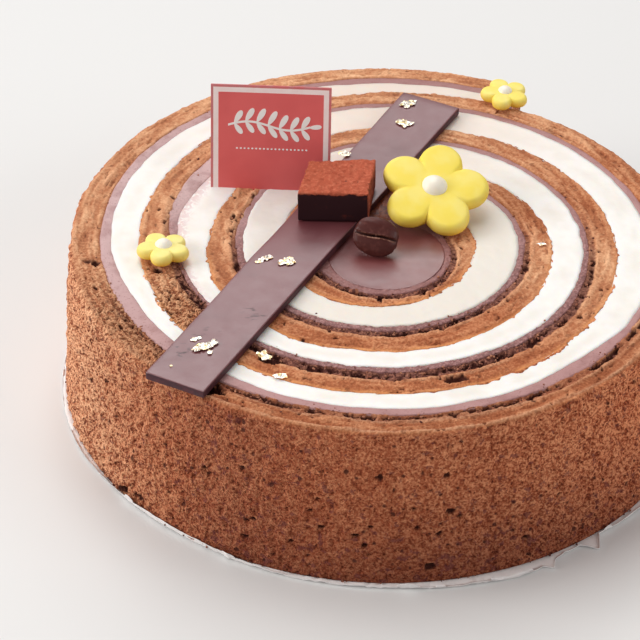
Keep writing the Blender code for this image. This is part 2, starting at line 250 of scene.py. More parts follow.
class Finish:
    # a Principled material, with short calls for the nodes that feed it

    def __init__(self, name, colour, roughness, **sockets):
        self.material = bpy.data.materials.new(name)
        self.material.use_nodes = True
        self.tree = self.material.node_tree
        self.shader = self.tree.nodes["Principled BSDF"]
        self.shader.inputs["Base Color"].default_value = (*colour, 1)
        self.shader.inputs["Roughness"].default_value = roughness
        for socket, value in sockets.items():
            self.shader.inputs[socket.replace("_", " ")].default_value = value
        self.place = self.tree.nodes.new("ShaderNodeTexCoord").outputs["Object"]

    def feed(self, socket, value):
        if isinstance(value, bpy.types.NodeSocket):
            self.tree.links.new(value, socket)
        elif isinstance(value, tuple) and len(value) == 3 and socket.type == "RGBA":
            socket.default_value = (*value, 1)
        else:
            socket.default_value = value

    def stretched(self, x, y, z, vector=None):
        node = self.tree.nodes.new("ShaderNodeMapping")
        node.inputs["Scale"].default_value = (x, y, z)
        self.tree.links.new(vector or self.place, node.inputs["Vector"])
        return node.outputs["Vector"]

    def warped(self, size, amount):
        # the place nudged to and fro by noise, so that cells lose their roundness
        noise = self.tree.nodes.new("ShaderNodeTexNoise")
        noise.inputs["Scale"].default_value = 1 / size
        noise.inputs["Detail"].default_value = 2
        self.tree.links.new(self.place, noise.inputs["Vector"])
        node = self.tree.nodes.new("ShaderNodeVectorMath")
        node.operation = "MULTIPLY_ADD"
        self.tree.links.new(noise.outputs["Color"], node.inputs[0])
        node.inputs[1].default_value = (amount, amount, amount)
        self.tree.links.new(self.place, node.inputs[2])
        return node.outputs["Vector"]

    def attribute(self, name):
        node = self.tree.nodes.new("ShaderNodeAttribute")
        node.attribute_name = name
        return node.outputs["Fac"]

    def noise(self, size, detail=3.0, roughness=0.5, distortion=0.0, vector=None):
        node = self.tree.nodes.new("ShaderNodeTexNoise")
        node.inputs["Scale"].default_value = 1 / size
        node.inputs["Detail"].default_value = detail
        node.inputs["Roughness"].default_value = roughness
        node.inputs["Distortion"].default_value = distortion
        self.tree.links.new(vector or self.place, node.inputs["Vector"])
        return node.outputs["Fac"]

    def pores(self, size, vector, missing):
        # 1 inside round pores of mixed sizes, at most one to a cell
        # missing is the share of cells without one
        node = self.tree.nodes.new("ShaderNodeTexVoronoi")
        node.inputs["Scale"].default_value = 1 / size
        self.tree.links.new(vector, node.inputs["Vector"])
        split = self.tree.nodes.new("ShaderNodeSeparateColor")
        self.tree.links.new(node.outputs["Color"], split.inputs[0])
        shrink = self.times(split.outputs[0], 0.34 / max(1 - missing, 0.1))
        return self.between(self.sum(shrink, node.outputs["Distance"]), 0.20, 0.38, 1.0, 0.0)

    def ramped(self, value, *stops):
        node = self.tree.nodes.new("ShaderNodeValToRGB")
        while len(node.color_ramp.elements) < len(stops):
            node.color_ramp.elements.new(0.5)
        for element, (position, colour) in zip(node.color_ramp.elements, stops):
            element.position = position
            element.color = (*colour, 1)
        self.tree.links.new(value, node.inputs[0])
        return node.outputs[0]

    def between(self, value, low, high, toLow=0.0, toHigh=1.0):
        node = self.tree.nodes.new("ShaderNodeMapRange")
        node.interpolation_type = "SMOOTHSTEP"
        self.feed(node.inputs["Value"], value)
        ends = {"From Min": low, "From Max": high, "To Min": toLow, "To Max": toHigh}
        for socket, number in ends.items():
            node.inputs[socket].default_value = number
        return node.outputs["Result"]

    def sum(self, first, second, operation="ADD"):
        node = self.tree.nodes.new("ShaderNodeMath")
        node.operation = operation
        self.feed(node.inputs[0], first)
        self.feed(node.inputs[1], second)
        return node.outputs[0]

    def times(self, first, second):
        return self.sum(first, second, "MULTIPLY")

    def mix(self, first, second, share, blend="MIX"):
        node = self.tree.nodes.new("ShaderNodeMix")
        node.data_type = "RGBA"
        node.blend_type = blend
        self.feed(node.inputs[0], share)
        self.feed(node.inputs[6], first)  # 6, 7 and output 2 are the colour ones
        self.feed(node.inputs[7], second)
        return node.outputs[2]

    def patched(self, base, colour, value, low, high, most=1.0):
        # the base with a colour over it where the value is high
        return self.mix(base, colour, self.between(value, low, high, 0.0, most))

    def band(self, value, start, full, fading, end):
        # 1 from full to fading, 0 before start and after end
        return self.times(self.between(value, start, full), self.between(value, fading, end, 1.0, 0.0))

    def tinted(self, base, tint, share):
        return self.mix(base, self.mix(base, tint, 1.0, "MULTIPLY"), share)

    def milky(self, radius, scale):
        # how far light strays inside, for red, green and blue
        self.shader.inputs["Subsurface Radius"].default_value = radius
        self.shader.inputs["Subsurface Scale"].default_value = scale

    def colour(self, value):
        self.feed(self.shader.inputs["Base Color"], value)

    def rough(self, value):
        self.feed(self.shader.inputs["Roughness"], value)

    def bump(self, height, distance, strength=1.0):
        node = self.tree.nodes.new("ShaderNodeBump")
        node.inputs["Distance"].default_value = distance
        node.inputs["Strength"].default_value = strength
        self.tree.links.new(height, node.inputs["Height"])
        self.tree.links.new(node.outputs["Normal"], self.shader.inputs["Normal"])


# the roll, where each layer lies as in the solids; lengths are in parts of its radius
roll = {
    "radius": 75 * mm,  # of the cake at the top
    "spread": 1.036,  # the foot's radius over the top's
    "turns": 3.95,
    "outerEnd": radians(62),
    "start": 1.0994,
    "pitch": 0.1972,  # how much nearer the middle each turn lies
    "tightening": 0.0057,
    "shiftX": (0.025, 0.007),  # how far off the middle the roll sits, and what each turn adds
    "shiftY": (-0.0224, -0.0068),
    "ovalSquare": (0.007, -0.005),
    "ovalDiagonal": (-0.012, 0.0077),
    "tuck": 0.0584,  # how far the outer end is pressed in
    "tuckTurns": 0.9,
    "sponge": 0.085,
    "spongeFront": 0.015,  # extra thickness on the heavy side
    "heavySide": radians(255),
    "innerEndExtra": 0.045,
    "innerEndTurn": 3.72,
    "chocolate": 0.019,
    "chocolateOuter": 0.012,  # extra in the outer turn
    "thickSpots": ((0.41, 0.020, 0.07), (0.73, 0.018, 0.05), (1.24, 0.038, 0.06)),  # turn, extra, width
    "whiteTurns": 3.40,
    "coreCentre": (0.020, -0.099),
    "coreRadius": 0.183,
    "ringCentre": (0.0136, -0.096),
    "ringRadius": 0.2104,
}


def turnAngle(turn):
    return roll["outerEnd"] + 2 * pi * turn


def circleFace(centre, radius, angle):
    # how far out a circle's far side lies, seen from the roll's middle
    along = centre[0] * np.cos(angle) + centre[1] * np.sin(angle)
    return along + np.sqrt(along**2 + radius**2 - centre[0] ** 2 - centre[1] ** 2)


def spongeOuter(turn):
    angle = turnAngle(turn)
    wound = roll["start"] - roll["pitch"] * turn - roll["tightening"] * turn**2
    wound = wound + (roll["shiftX"][0] + roll["shiftX"][1] * turn) * np.cos(angle)
    wound = wound + (roll["shiftY"][0] + roll["shiftY"][1] * turn) * np.sin(angle)
    wound = wound + (roll["ovalSquare"][0] + roll["ovalSquare"][1] * turn) * np.cos(2 * angle)
    wound = wound + (roll["ovalDiagonal"][0] + roll["ovalDiagonal"][1] * turn) * np.sin(2 * angle)
    return wound - roll["tuck"] * np.maximum(0, 1 - turn / roll["tuckTurns"]) ** 2


def spongeInner(turn):
    angle = turnAngle(turn)
    thickness = roll["sponge"] + roll["spongeFront"] * np.cos(angle - roll["heavySide"])
    late = np.clip((turn - roll["innerEndTurn"]) / (roll["turns"] - roll["innerEndTurn"]), 0, 1)
    thickness = thickness + roll["innerEndExtra"] * late
    ring = circleFace(roll["ringCentre"], roll["ringRadius"], angle)
    return np.maximum(spongeOuter(turn) - thickness, ring)


def chocolateInner(turn):
    core = circleFace(roll["coreCentre"], roll["coreRadius"], turnAngle(turn))
    thickness = roll["chocolate"] + roll["chocolateOuter"] * np.maximum(0, 1 - turn)
    for spot, extra, width in roll["thickSpots"]:
        thickness = thickness + extra * bell(turn, spot, width)
    return np.where(turn > roll["whiteTurns"], core, np.maximum(spongeInner(turn) - thickness, core))


def whiteInner(turn):
    core = circleFace(roll["coreCentre"], roll["coreRadius"], turnAngle(turn))
    return np.where(turn + 1 <= roll["turns"], spongeOuter(turn + 1), core)


def stationsAlong(first, last, spacing):
    # turns that lie the same distance apart along the roll
    turns = [first]
    while turns[-1] < last:
        middle = float(spongeOuter(turns[-1]) - 0.04)
        turns.append(turns[-1] + spacing / (2 * pi * roll["radius"] * middle))
    turns[-1] = last
    return np.array(turns)


def spreadAt(z):
    return 1 + (roll["spread"] - 1) * (cakeTop - z) / cakeHeight


def placeOnRoll(turn, radius, z):
    # points from turn (stations), radius and z (stations x section points)
    # radius is as at the top, and the roll spreads from there to its foot
    angle = turnAngle(turn)[:, None]
    out = radius * spreadAt(z)
    return np.stack([out * np.cos(angle), out * np.sin(angle), np.broadcast_to(z, out.shape)], -1)


# where the layers' edges stray further than the solids show: turn, millimetres outwards
edgeShifts = {
    "rim": (
        (0.0, 0.3), (0.11, 0.6), (0.19, 1.0), (0.38, 1.0), (0.44, 0.7), (0.48, 0.2), (0.53, 0.1),
        (0.63, 0.1), (0.675, 0.4), (0.72, 0.9), (0.95, 1.1), (1.0, 0.5),
    ),
    "outer": (
        (1.0, 0), (1.18, -0.6), (1.22, -1.1), (1.40, -1.1), (1.45, -0.6), (1.50, -0.2), (1.56, 0),
        (1.64, 0.4), (1.72, 0.3), (1.83, 0), (2.10, 0), (2.20, -1.6), (2.27, -2.0), (2.31, -1.4),
        (2.34, -0.8), (2.38, 0), (2.50, 0.3), (2.60, 0.6), (2.66, 1.1), (2.76, 1.4), (2.83, 1.1),
        (2.86, 0.7), (2.92, 0.1), (3.0, 0),
    ),
    "inner": (
        (0.0, 0), (1.0, 0), (1.15, -0.4), (1.244, -1.1), (1.30, -1.2), (1.328, -2.2), (1.36, -3.0),
        (1.40, -3.6), (1.44, -3.6), (1.48, -2.0), (1.50, -1.3), (1.55, -1.1), (1.66, -1.1),
        (1.72, -0.6), (1.83, -0.7), (1.95, -0.6), (2.05, -0.3), (2.20, -1.6), (2.27, -1.9),
        (2.30, -1.5), (2.328, -1.1), (2.37, -0.7), (2.50, -0.6), (2.58, -0.5), (2.66, -0.4),
        (2.74, 0.4), (2.83, 0.6), (2.95, 0.3), (3.05, 0),
    ),
    "border": (
        (0.0, 0), (0.60, 0), (0.66, -0.5), (0.69, -0.8), (0.717, 0.3), (0.744, 1.6), (0.77, 1.2),
        (0.80, 0.5), (0.86, 0), (1.15, -0.4), (1.244, -1.1), (1.30, -1.3), (1.33, -2.2),
        (1.38, -2.5), (1.44, -2.5), (1.48, -1.4), (1.50, -1.1), (1.66, -1.1), (1.72, -0.6),
        (1.83, -0.6), (1.95, -0.6), (2.05, -0.3), (2.20, -1.5), (2.30, -1.6), (2.36, -0.8),
        (2.45, -0.4), (2.50, -0.6), (2.60, -0.5), (2.74, 0.5), (2.83, 0.7), (2.95, 0.3), (3.05, 0),
    ),
}
# where a turn's outer edge bulges: turn, how far in millimetres, over what part of a turn
edgeBulges = (
    (2.515, 0.75, 0.022), (2.555, -0.45, 0.010), (1.435, 0.5, 0.02), (2.41, 0.8, 0.016), (2.36, 0.4, 0.01),
)


def shifted(edge, turn):
    turns, amounts = zip(*edgeShifts[edge])
    return np.interp(turn, turns, amounts) * mm


def edgeWobble(turn, rough, seed):
    # how far a layer's edge strays from its nominal line, the same for the layers on both sides of it
    angle = turnAngle(turn)
    ring = np.stack([np.cos(angle), np.sin(angle), turn * 3.1], -1) * 0.05
    strays = softNoise(ring, 5.5 * mm, seed) * 0.28 + softNoise(ring, 1.6 * mm, seed + 1) * 0.14
    return rough * strays * mm


def outerWobble(turn):
    # the same for the outer edge of a turn, with its bulges
    wobble = edgeWobble(turn, 0.9, 40) + shifted("outer", turn)
    for spot, amount, width in edgeBulges:
        wobble = wobble + amount * mm * bell(turn, spot, width)
    return wobble


def rimEdge(turn):
    # the sponge's outer edge
    strays = np.where(turn < 1, shifted("rim", turn) - 0.15 * mm, outerWobble(turn))
    return roll["radius"] * spongeOuter(turn) + strays


def innerEdge(turn):
    # the sponge's inner edge, where the chocolate cream begins
    return roll["radius"] * spongeInner(turn) + shifted("inner", turn) + edgeWobble(turn, 1.0, 50)


def creamBorder(turn):
    # the line between the two creams
    return roll["radius"] * chocolateInner(turn) + shifted("border", turn) + edgeWobble(turn, 0.9, 60)


def frontness(turn):
    # 1 where the roll faces the front, 0 at the back
    return (1 - np.sin(turnAngle(turn))) / 2


spongeLook = {
    # how finely each stretch is cut, and how many slits and pores it gets
    "outerTurn": {"step": 0.40 * mm, "wallRows": 104, "topPoints": 24, "slits": 150, "pores": 260},
    "innerTurns": {"step": 0.36 * mm, "wallRows": 4, "topPoints": 22, "slits": 260, "pores": 360},
    "wallPores": 230,
    "slitDepth": 0.45 * mm,
    # painted shade, how much darker the wall is low down: degrees, amount
    "shadeLowDown": (
        (0, 0.5), (200, 0.0), (235, 0.06), (257, 0.6), (270, 0.9), (290, 1.1), (310, 0.95), (327, 0.60),
        (360, 0.5),
    ),
    # the crumb's tones by height: painted shade in its pores, painted highlight on its crumbs
    "wallPoreShade": (0.150, 0.033, 0.017),
    "wallMiddle": (0.385, 0.100, 0.043),
    "wallCrumbHighlight": (0.75, 0.300, 0.148),
    "topPoreShade": (0.22, 0.060, 0.028),
    "topMiddle": (0.43, 0.140, 0.060),
    "topCrumbHighlight": (0.72, 0.320, 0.160),
    "paleTint": (1.34, 1.80, 2.10),  # where the crust is paler, at the back and on the left
    "redTint": (0.84, 0.72, 0.68),  # in patches
    "sideLightTint": (1.50, 1.48, 1.46),  # painted light on the wall's right and left sides
    "shade": (0.55, 0.50, 0.53),  # painted shade low on the wall, at its foot and on the front of the top; also darker round the front-left
    "crustEdge": (0.86, 0.370, 0.140),
    # a lighter colour on the ridges, a painted highlight
    "ridge": (0.82, 0.440, 0.255),
    "stain": (0.150, 0.040, 0.040),
    # painted shade for the pores, pits and hollows
    "hollowShade": (0.060, 0.016, 0.013),
    # the torn crumb's own dark colour together with painted shade
    "tornDarkAndShade": (0.105, 0.038, 0.033),
    "tornLight": (0.42, 0.180, 0.125),
}
# holes that stand out in the wall: angle in degrees, height, width and depth in millimetres
wallHoles = (
    (276.6, 21.4, 1.1, 1.6), (282.9, 19.8, 2.2, 1.4), (247.1, 7.8, 1.7, 1.6), (260.9, 14.8, 1.5, 1.5),
    (266.8, 13.6, 1.6, 1.5), (255.4, 9.6, 1.3, 1.3), (268.2, 10.8, 1.6, 1.5), (279.5, 4.6, 2.6, 1.8),
    (238.8, 23.0, 1.3, 1.3), (236.7, 19.6, 1.2, 1.2), (280.9, 13.8, 1.5, 1.3), (269.3, 16.2, 1.1, 1.0),
    (260.1, 23.0, 1.2, 1.2), (282.1, 30.1, 1.5, 1.0), (270.1, 30.0, 1.0, 0.9), (296.6, 8.0, 1.6, 1.5),
    (218.8, 2.0, 3.2, 1.8), (223.3, 3.8, 2.4, 1.4), (303.0, 17.0, 1.4, 1.2), (190.0, 12.0, 1.3, 1.0),
)
# hollows in the top: turn, share across the sponge from its outside, length, width and depth in millimetres
topHoles = (
    (0.489, 0.34, 6.6, 3.4, 3.2), (0.483, 0.60, 4.0, 2.6, 2.8), (0.358, 0.66, 2.8, 1.9, 1.5),
    (0.3555, 0.40, 1.8, 2.6, 0.7), (0.380, 0.35, 1.9, 0.9, 1.1), (0.417, 0.30, 1.7, 0.8, 1.0),
    (0.665, 0.86, 3.0, 1.6, 1.8), (0.600, 0.84, 2.4, 1.5, 1.6), (0.528, 0.85, 2.2, 1.3, 1.6),
    (1.628, 0.36, 5.6, 2.0, 1.8), (1.502, 0.62, 4.4, 2.6, 2.2), (1.735, 0.42, 2.0, 1.1, 1.3),
    (1.300, 0.52, 1.8, 1.2, 0.8), (2.298, 0.62, 3.4, 1.5, 1.3), (1.374, 0.35, 2.6, 1.6, 1.6),
    (1.770, 0.30, 1.3, 0.9, 1.2), (1.365, 0.55, 1.4, 1.0, 1.2), (2.540, 0.45, 1.6, 0.9, 1.0),
)


def stamp(field, along, across, places, ragged):
    # presses rounded pits with ragged edges into a field over (along, across)
    # a place is where it lies along and across, then its half length, half width and depth
    for s, v, long, wide, depth in places:
        i0, i1 = np.searchsorted(along, (s - 1.5 * long, s + 1.5 * long))
        j0, j1 = np.searchsorted(across, (v - 1.5 * wide, v + 1.5 * wide))
        if i1 <= i0 or j1 <= j0:
            continue
        away = ((along[i0:i1, None] - s) / long) ** 2 + ((across[None, j0:j1] - v) / wide) ** 2
        pit = depth * np.sqrt(np.clip(1 - away * (1 + 0.7 * ragged[i0:i1, j0:j1]), 0, 1))
        np.maximum(field[i0:i1, j0:j1], pit, out=field[i0:i1, j0:j1])


def spongeSection(outer, inner, wallRows, topPoints, rounding):
    # the section's points: up the outer wall, over the rim's arc, across the top, down the inner wall
    # gives their radius and z for every station, and the way outwards at each as (radius, z)
    arcSteps = 5
    points = []
    for share in np.linspace(0, 1, wallRows):
        points.append((outer, cakeFoot + (cakeTop - rounding - cakeFoot) * share, 1.0, 0.0))
    for k in range(1, arcSteps + 1):
        bend = pi / 2 * k / arcSteps
        radius = outer - rounding * (1 - cos(bend))
        points.append((radius, cakeTop - rounding * (1 - sin(bend)), cos(bend), sin(bend)))
    for share in np.linspace(0, 1, topPoints)[1:-1]:
        radius = outer - rounding - (outer - rounding - inner - 0.3 * mm) * share
        points.append((radius, cakeTop, 0.0, 1.0))
    points.append((inner + 0.1 * mm, cakeTop - 0.15 * mm, -0.5, 0.8))
    for height in (cakeTop - 0.6 * mm, cakeTop - 1.5 * mm, cakeTop - 3 * mm, cakeFoot):
        points.append((inner, height, 0.0, 0.0))
    radius, z, outR, outZ = zip(*points)
    radius = np.stack([np.broadcast_to(r, len(outer)) for r in radius], -1)
    z = np.stack([np.broadcast_to(height, len(outer)) for height in z], -1)
    return radius, z, np.array(outR), np.array(outZ)


def poreScatter(count, alongLast, acrossFirst, acrossLast, sizes, depth, tall):
    # places for stamp, mostly small ones
    places = []
    for _ in range(count):
        size = sizes[0] + (sizes[1] - sizes[0]) * dice.random() ** 3
        stretch = 0.75 + 0.5 * dice.random()
        s = alongLast * dice.random()
        v = acrossFirst + (acrossLast - acrossFirst) * dice.random()
        deep = size * depth * (0.7 + 0.6 * dice.random())
        places.append((s, v, size / stretch / tall, size * stretch, deep))
    return places


def wallOpenings(turns, along, wallLength):
    # the wall's pores and its larger holes
    count, sizes = spongeLook["wallPores"], (0.25 * mm, 0.75 * mm)
    pores = poreScatter(count, along[-1], 0, wallLength - 2 * mm, sizes, 1.3, 1.1)
    for holeAngle, height, width, depth in wallHoles:
        turn = ((radians(holeAngle) - roll["outerEnd"]) / (2 * pi)) % 1
        s, v = np.interp(turn, turns, along), height * mm - cakeFoot
        pores.append((s, v, width * mm / 2, width * mm * 0.42, depth * mm))
    return pores


def topOpenings(turns, along, topFirst, topLast, stretch):
    # the top's slits, pores and larger hollows; across the top, places count from its outside
    slits = []
    for _ in range(stretch["slits"]):
        v = topFirst + (topLast - topFirst) * (0.12 + 0.6 * dice.random())
        s = along[-1] * dice.random()
        long, wide = (0.3 + 0.9 * dice.random()) * mm, (0.12 + 0.12 * dice.random()) * mm
        slits.append((s, v, long, wide, spongeLook["slitDepth"]))
    sizes = (0.16 * mm, 0.40 * mm)
    holes = poreScatter(stretch["pores"], along[-1], topFirst, topLast - 0.8 * mm, sizes, 1.0, 0.8)
    holes += slits
    for turn, where, length, width, depth in topHoles:
        if turns[0] <= turn < turns[-1]:
            s, v = np.interp(turn, turns, along), topFirst + (topLast - topFirst) * where
            holes.append((s, v, length * mm / 2, width * mm / 2, depth * mm))
    return holes


def tornHollows(base, along, fromEdge, middle, width, amount):
    # 0 to 1, ragged hollows strung out beside the chocolate cream
    strung = np.stack([along[:, None] * 0.62 + 0 * fromEdge, fromEdge, 0 * fromEdge], -1)
    field = 0.70 * softNoise(strung, 1.5 * mm, 16) + 0.45 * softNoise(base, 0.75 * mm, 17)
    return ramp(field + 1.15 * amount * bell(fromEdge, middle, width) - 0.62, 0.0, 0.24)


def spongeWallRelief(base, coarse):
    # in millimetres; gives the fine pores too, which are coloured
    upright = base * (1, 1, 0.62)
    relief = softNoise(base, 15 * mm, 1) * 0.30 + softNoise(base, 5 * mm, 2) * 0.18
    relief = relief + softNoise(upright, 1.9 * mm, 3) * (0.13 + 0.28 * coarse)
    relief = relief + softNoise(upright, 1.05 * mm, 4) * (0.15 + 0.46 * coarse)
    fine = ramp(softNoise(base * (1, 1, 0.85), 0.74 * mm, 12), 0.30 - 0.12 * coarse, 0.75)
    return relief - (0.34 + 0.16 * coarse) * fine, fine


def wavyRidge(base, lanes, fromEdge, fromRim, reach, front, outside):
    # a wavy ridge runs along just outside the torn crumb, and two run along the rim
    sway = 0.35 * mm * softNoise(lanes, 3.1 * mm, 19)
    ridge = bell(fromEdge + sway, reach * 1.22, 0.38 * mm)
    if outside:
        onRim = bell(fromRim + sway, 1.15 * mm, 0.42 * mm)
        ridge = np.maximum(onRim, 0.8 * bell(fromEdge + sway, 2.75 * mm, 0.40 * mm))
    broken = np.clip(0.45 + 0.8 * softNoise(base, 5 * mm, 10) + 0.25 * front, 0, 1)
    return ridge * broken * (0.25 + 0.75 * front)


def deepHollows(base, along, fromEdge, reach, front, degree, outside):
    # the depth in millimetres of the hollows beside the chocolate cream
    if outside:
        amount = 0.22 + 0.62 * ramp(degree, 222, 246) * (1 - ramp(degree, 318, 350))
        hollows = tornHollows(base, along, fromEdge, 1.15 * mm, 0.80 * mm, amount)
        return hollows * (0.35 + 1.1 * ramp(amount, 0.3, 0.8))
    amount = 0.10 + 0.52 * front**1.5
    hollows = tornHollows(base, along, fromEdge, 0.55 * reach, 0.55 * reach, amount)
    return hollows * (0.25 + 0.95 * front)


def paleness(angle, degree, isTop):
    # where the sponge is paler: round the back, on the right of the top and on the left
    pale = np.clip(0.55 + 0.55 * np.cos(angle - radians(125)), 0, 1)
    pale = np.maximum(pale, isTop * 0.85 * (bell(degree, 345, 34) + bell(degree, -15, 34)))
    return np.clip(pale + 0.45 * bell(degree, 192, 20) * (1 - isTop), 0, 1)


# painted shade: darker low down, most on the front, darkest at the foot, and darker round the front-left
def wallPaintedShade(degree, z):
    degrees, amounts = zip(*spongeLook["shadeLowDown"])
    dark = np.interp(degree, degrees, amounts) * np.clip((34 * mm - z) / (30 * mm), 0, 1) ** 1.5
    return dark + 0.54 * bell(degree, 244, 14) + 0.30 * (1 - ramp(z, 0.5 * mm, 3 * mm))


def spongePart(lengths, stretch, outside, material):
    # lengths gives each piece's name with the turns that it runs between
    first, last = lengths[0][1], lengths[-1][2]
    turns = stationsAlong(first, last, stretch["step"])
    outer, inner = rimEdge(turns), innerEdge(turns) + 0.10 * mm
    degree = np.degrees(turnAngle(turns)) % 360
    rounding = 0.35 * mm
    if outside:
        # the rim is crisp at the front and worn round on the left
        rounding = (1.5 + 0.8 * bell(degree, 213, 20) - 0.65 * bell(degree, 285, 42)) * mm
    wallRows, topPoints = stretch["wallRows"], stretch["topPoints"]
    radius, z, outR, outZ = spongeSection(outer, inner, wallRows, topPoints, rounding)
    base = placeOnRoll(turns, radius, z)
    around = 2 * pi * roll["radius"] * np.diff(turns) * 0.96 * spongeOuter(turns[1:])
    along = np.concatenate([[0], np.cumsum(around)])
    up = np.hypot(np.diff(radius.mean(0)), np.diff(z.mean(0)))
    across = np.concatenate([[0], np.cumsum(up)])
    wallEnd, topStart = wallRows - 1, wallRows + 4
    topEnd = topStart + topPoints - 1
    isTop = np.zeros(radius.shape)
    isTop[:, topStart - 3:] = [0.3, 0.65] + [1] * (radius.shape[1] - topStart + 1)
    angle, degree = turnAngle(turns)[:, None], degree[:, None]
    front = frontness(turns)[:, None]
    thickness = (outer - inner)[:, None]
    share = np.clip((outer[:, None] - radius) / thickness, 0, 1)
    fromEdge = radius - inner[:, None]

    # the wall: coarser crumb on the left, on the right and a little at the back
    coarse = 1.15 * bell(degree, 207, 32) + 0.9 * bell(degree, 325, 40) + 0.25 * bell(degree, 90, 75)
    wallRelief, fine = spongeWallRelief(base, coarse)
    ragged = softNoise(base, 0.8 * mm, 6)
    pits = np.zeros(radius.shape)
    if outside:
        stamp(pits, along, across, wallOpenings(turns, along, across[wallEnd]), ragged)

    # the top: fairly smooth with low ridges that run along the roll, and torn beside the chocolate cream
    lanes = np.stack([along[:, None] * 0.14 + 0 * radius, radius, 0 * radius + turns[:, None] * 0.02], -1)
    ridges = 0.65 * softNoise(lanes, 1.25 * mm, 11) + 0.5 * softNoise(lanes, 0.62 * mm, 18)
    # how far the torn crumb reaches in from the chocolate cream, less towards the sides and the back
    reach = (0.9 + 2.3 * np.clip(front * 1.25 - 0.2, 0, 1)) * mm
    reach = reach * np.where(turns[:, None] > 1.95, 0.75, 1.0)
    torn = ramp(fromEdge, reach * 1.10, reach * 0.75) * np.clip(front**1.3 * 1.2 - 0.06, 0.10, 1)
    torn = torn * (0.35 if outside else 1)
    grains = grainNoise(base, 1.05 * mm, 5)
    granular = isTop * bell(degree, 214, 17) * (1 if outside else 1.2 * bell(turns[:, None], 1.41, 0.05))
    topRelief = softNoise(base, 9 * mm, 7) * 0.16 + softNoise(base, 3 * mm, 8) * 0.10
    topRelief = topRelief + ridges * (0.24 + 0.22 * front * outside)
    topRelief = topRelief + softNoise(base, 1.1 * mm, 9) * 0.10 + softNoise(base, 0.6 * mm, 13) * 0.09
    topRelief = topRelief - torn * (0.30 + 0.60 * (grains - 0.35) + 0.26 * softNoise(base, 0.8 * mm, 14))
    topRelief = topRelief - granular * (1.1 * (grains - 0.4) + 0.30 * fine)
    ridge = wavyRidge(base, lanes, fromEdge, share * thickness, reach, front, outside)
    topRelief = topRelief + 0.40 * ridge
    stamp(pits, along, across, topOpenings(turns, along, across[topStart], across[topEnd], stretch), ragged)
    hollows = deepHollows(base, along, fromEdge, reach, front, degree, outside)
    pits = np.maximum(pits, hollows * mm * isTop)
    pits = np.maximum(pits, granular * ramp(grains, 0.58, 0.85) * 0.75 * mm)
    pits[:, topEnd + 2:] = 0

    relief = (wallRelief * (1 - isTop) + topRelief * isTop) * mm - pits
    relief[:, topEnd + 1:] = 0
    relief[:, 0] = 0
    grid = base.copy()
    grid[..., 0] += relief * outR * np.cos(angle)
    grid[..., 1] += relief * outR * np.sin(angle)
    grid[..., 2] += relief * outZ

    crust = bell(share * thickness, 0.0, 0.95 * mm) * np.clip(1.35 * front - 0.25, 0, 1)
    crust = crust * (0.3 if outside else 1)
    # the painted shade goes on the wall, and on the front of the outer turn's top
    low = np.clip(wallPaintedShade(degree, z), 0, 1) * (1 - isTop) + (0.28 * front * isTop if outside else 0)
    values = {
        "pit": np.clip(pits / (0.8 * mm), 0, 1),
        "pore": fine * (1 - isTop) + fine * granular * 0.6,
        "top": isTop,
        "pale": paleness(angle, degree, isTop),
        # painted light on the wall's right side and a little on its left
        "sideLight": (0.84 * bell(degree, 334, 30) + 0.19 * bell(degree, 189, 20)) * (1 - isTop),
        "crust": isTop * crust * np.clip(0.75 + 0.8 * softNoise(base, 3 * mm, 15), 0, 1),
        "ridge": ridge * isTop,
        "torn": torn * isTop,
        "coarse": coarse * (1 - isTop) + 2.6 * granular,
        "lane": (0.5 + 0.5 * ridges) * isTop,
        "low": low,
    }
    for name, start, end in lengths:
        part = slice(np.searchsorted(turns, start), np.searchsorted(turns, end) + 1)
        mesh = tubeMesh(name, grid[part], {label: value[part] for label, value in values.items()})
        print(name, len(mesh.polygons), "faces")
        addPiece(name, turnOutward(mesh), material, "sponge", "sponge_roll")


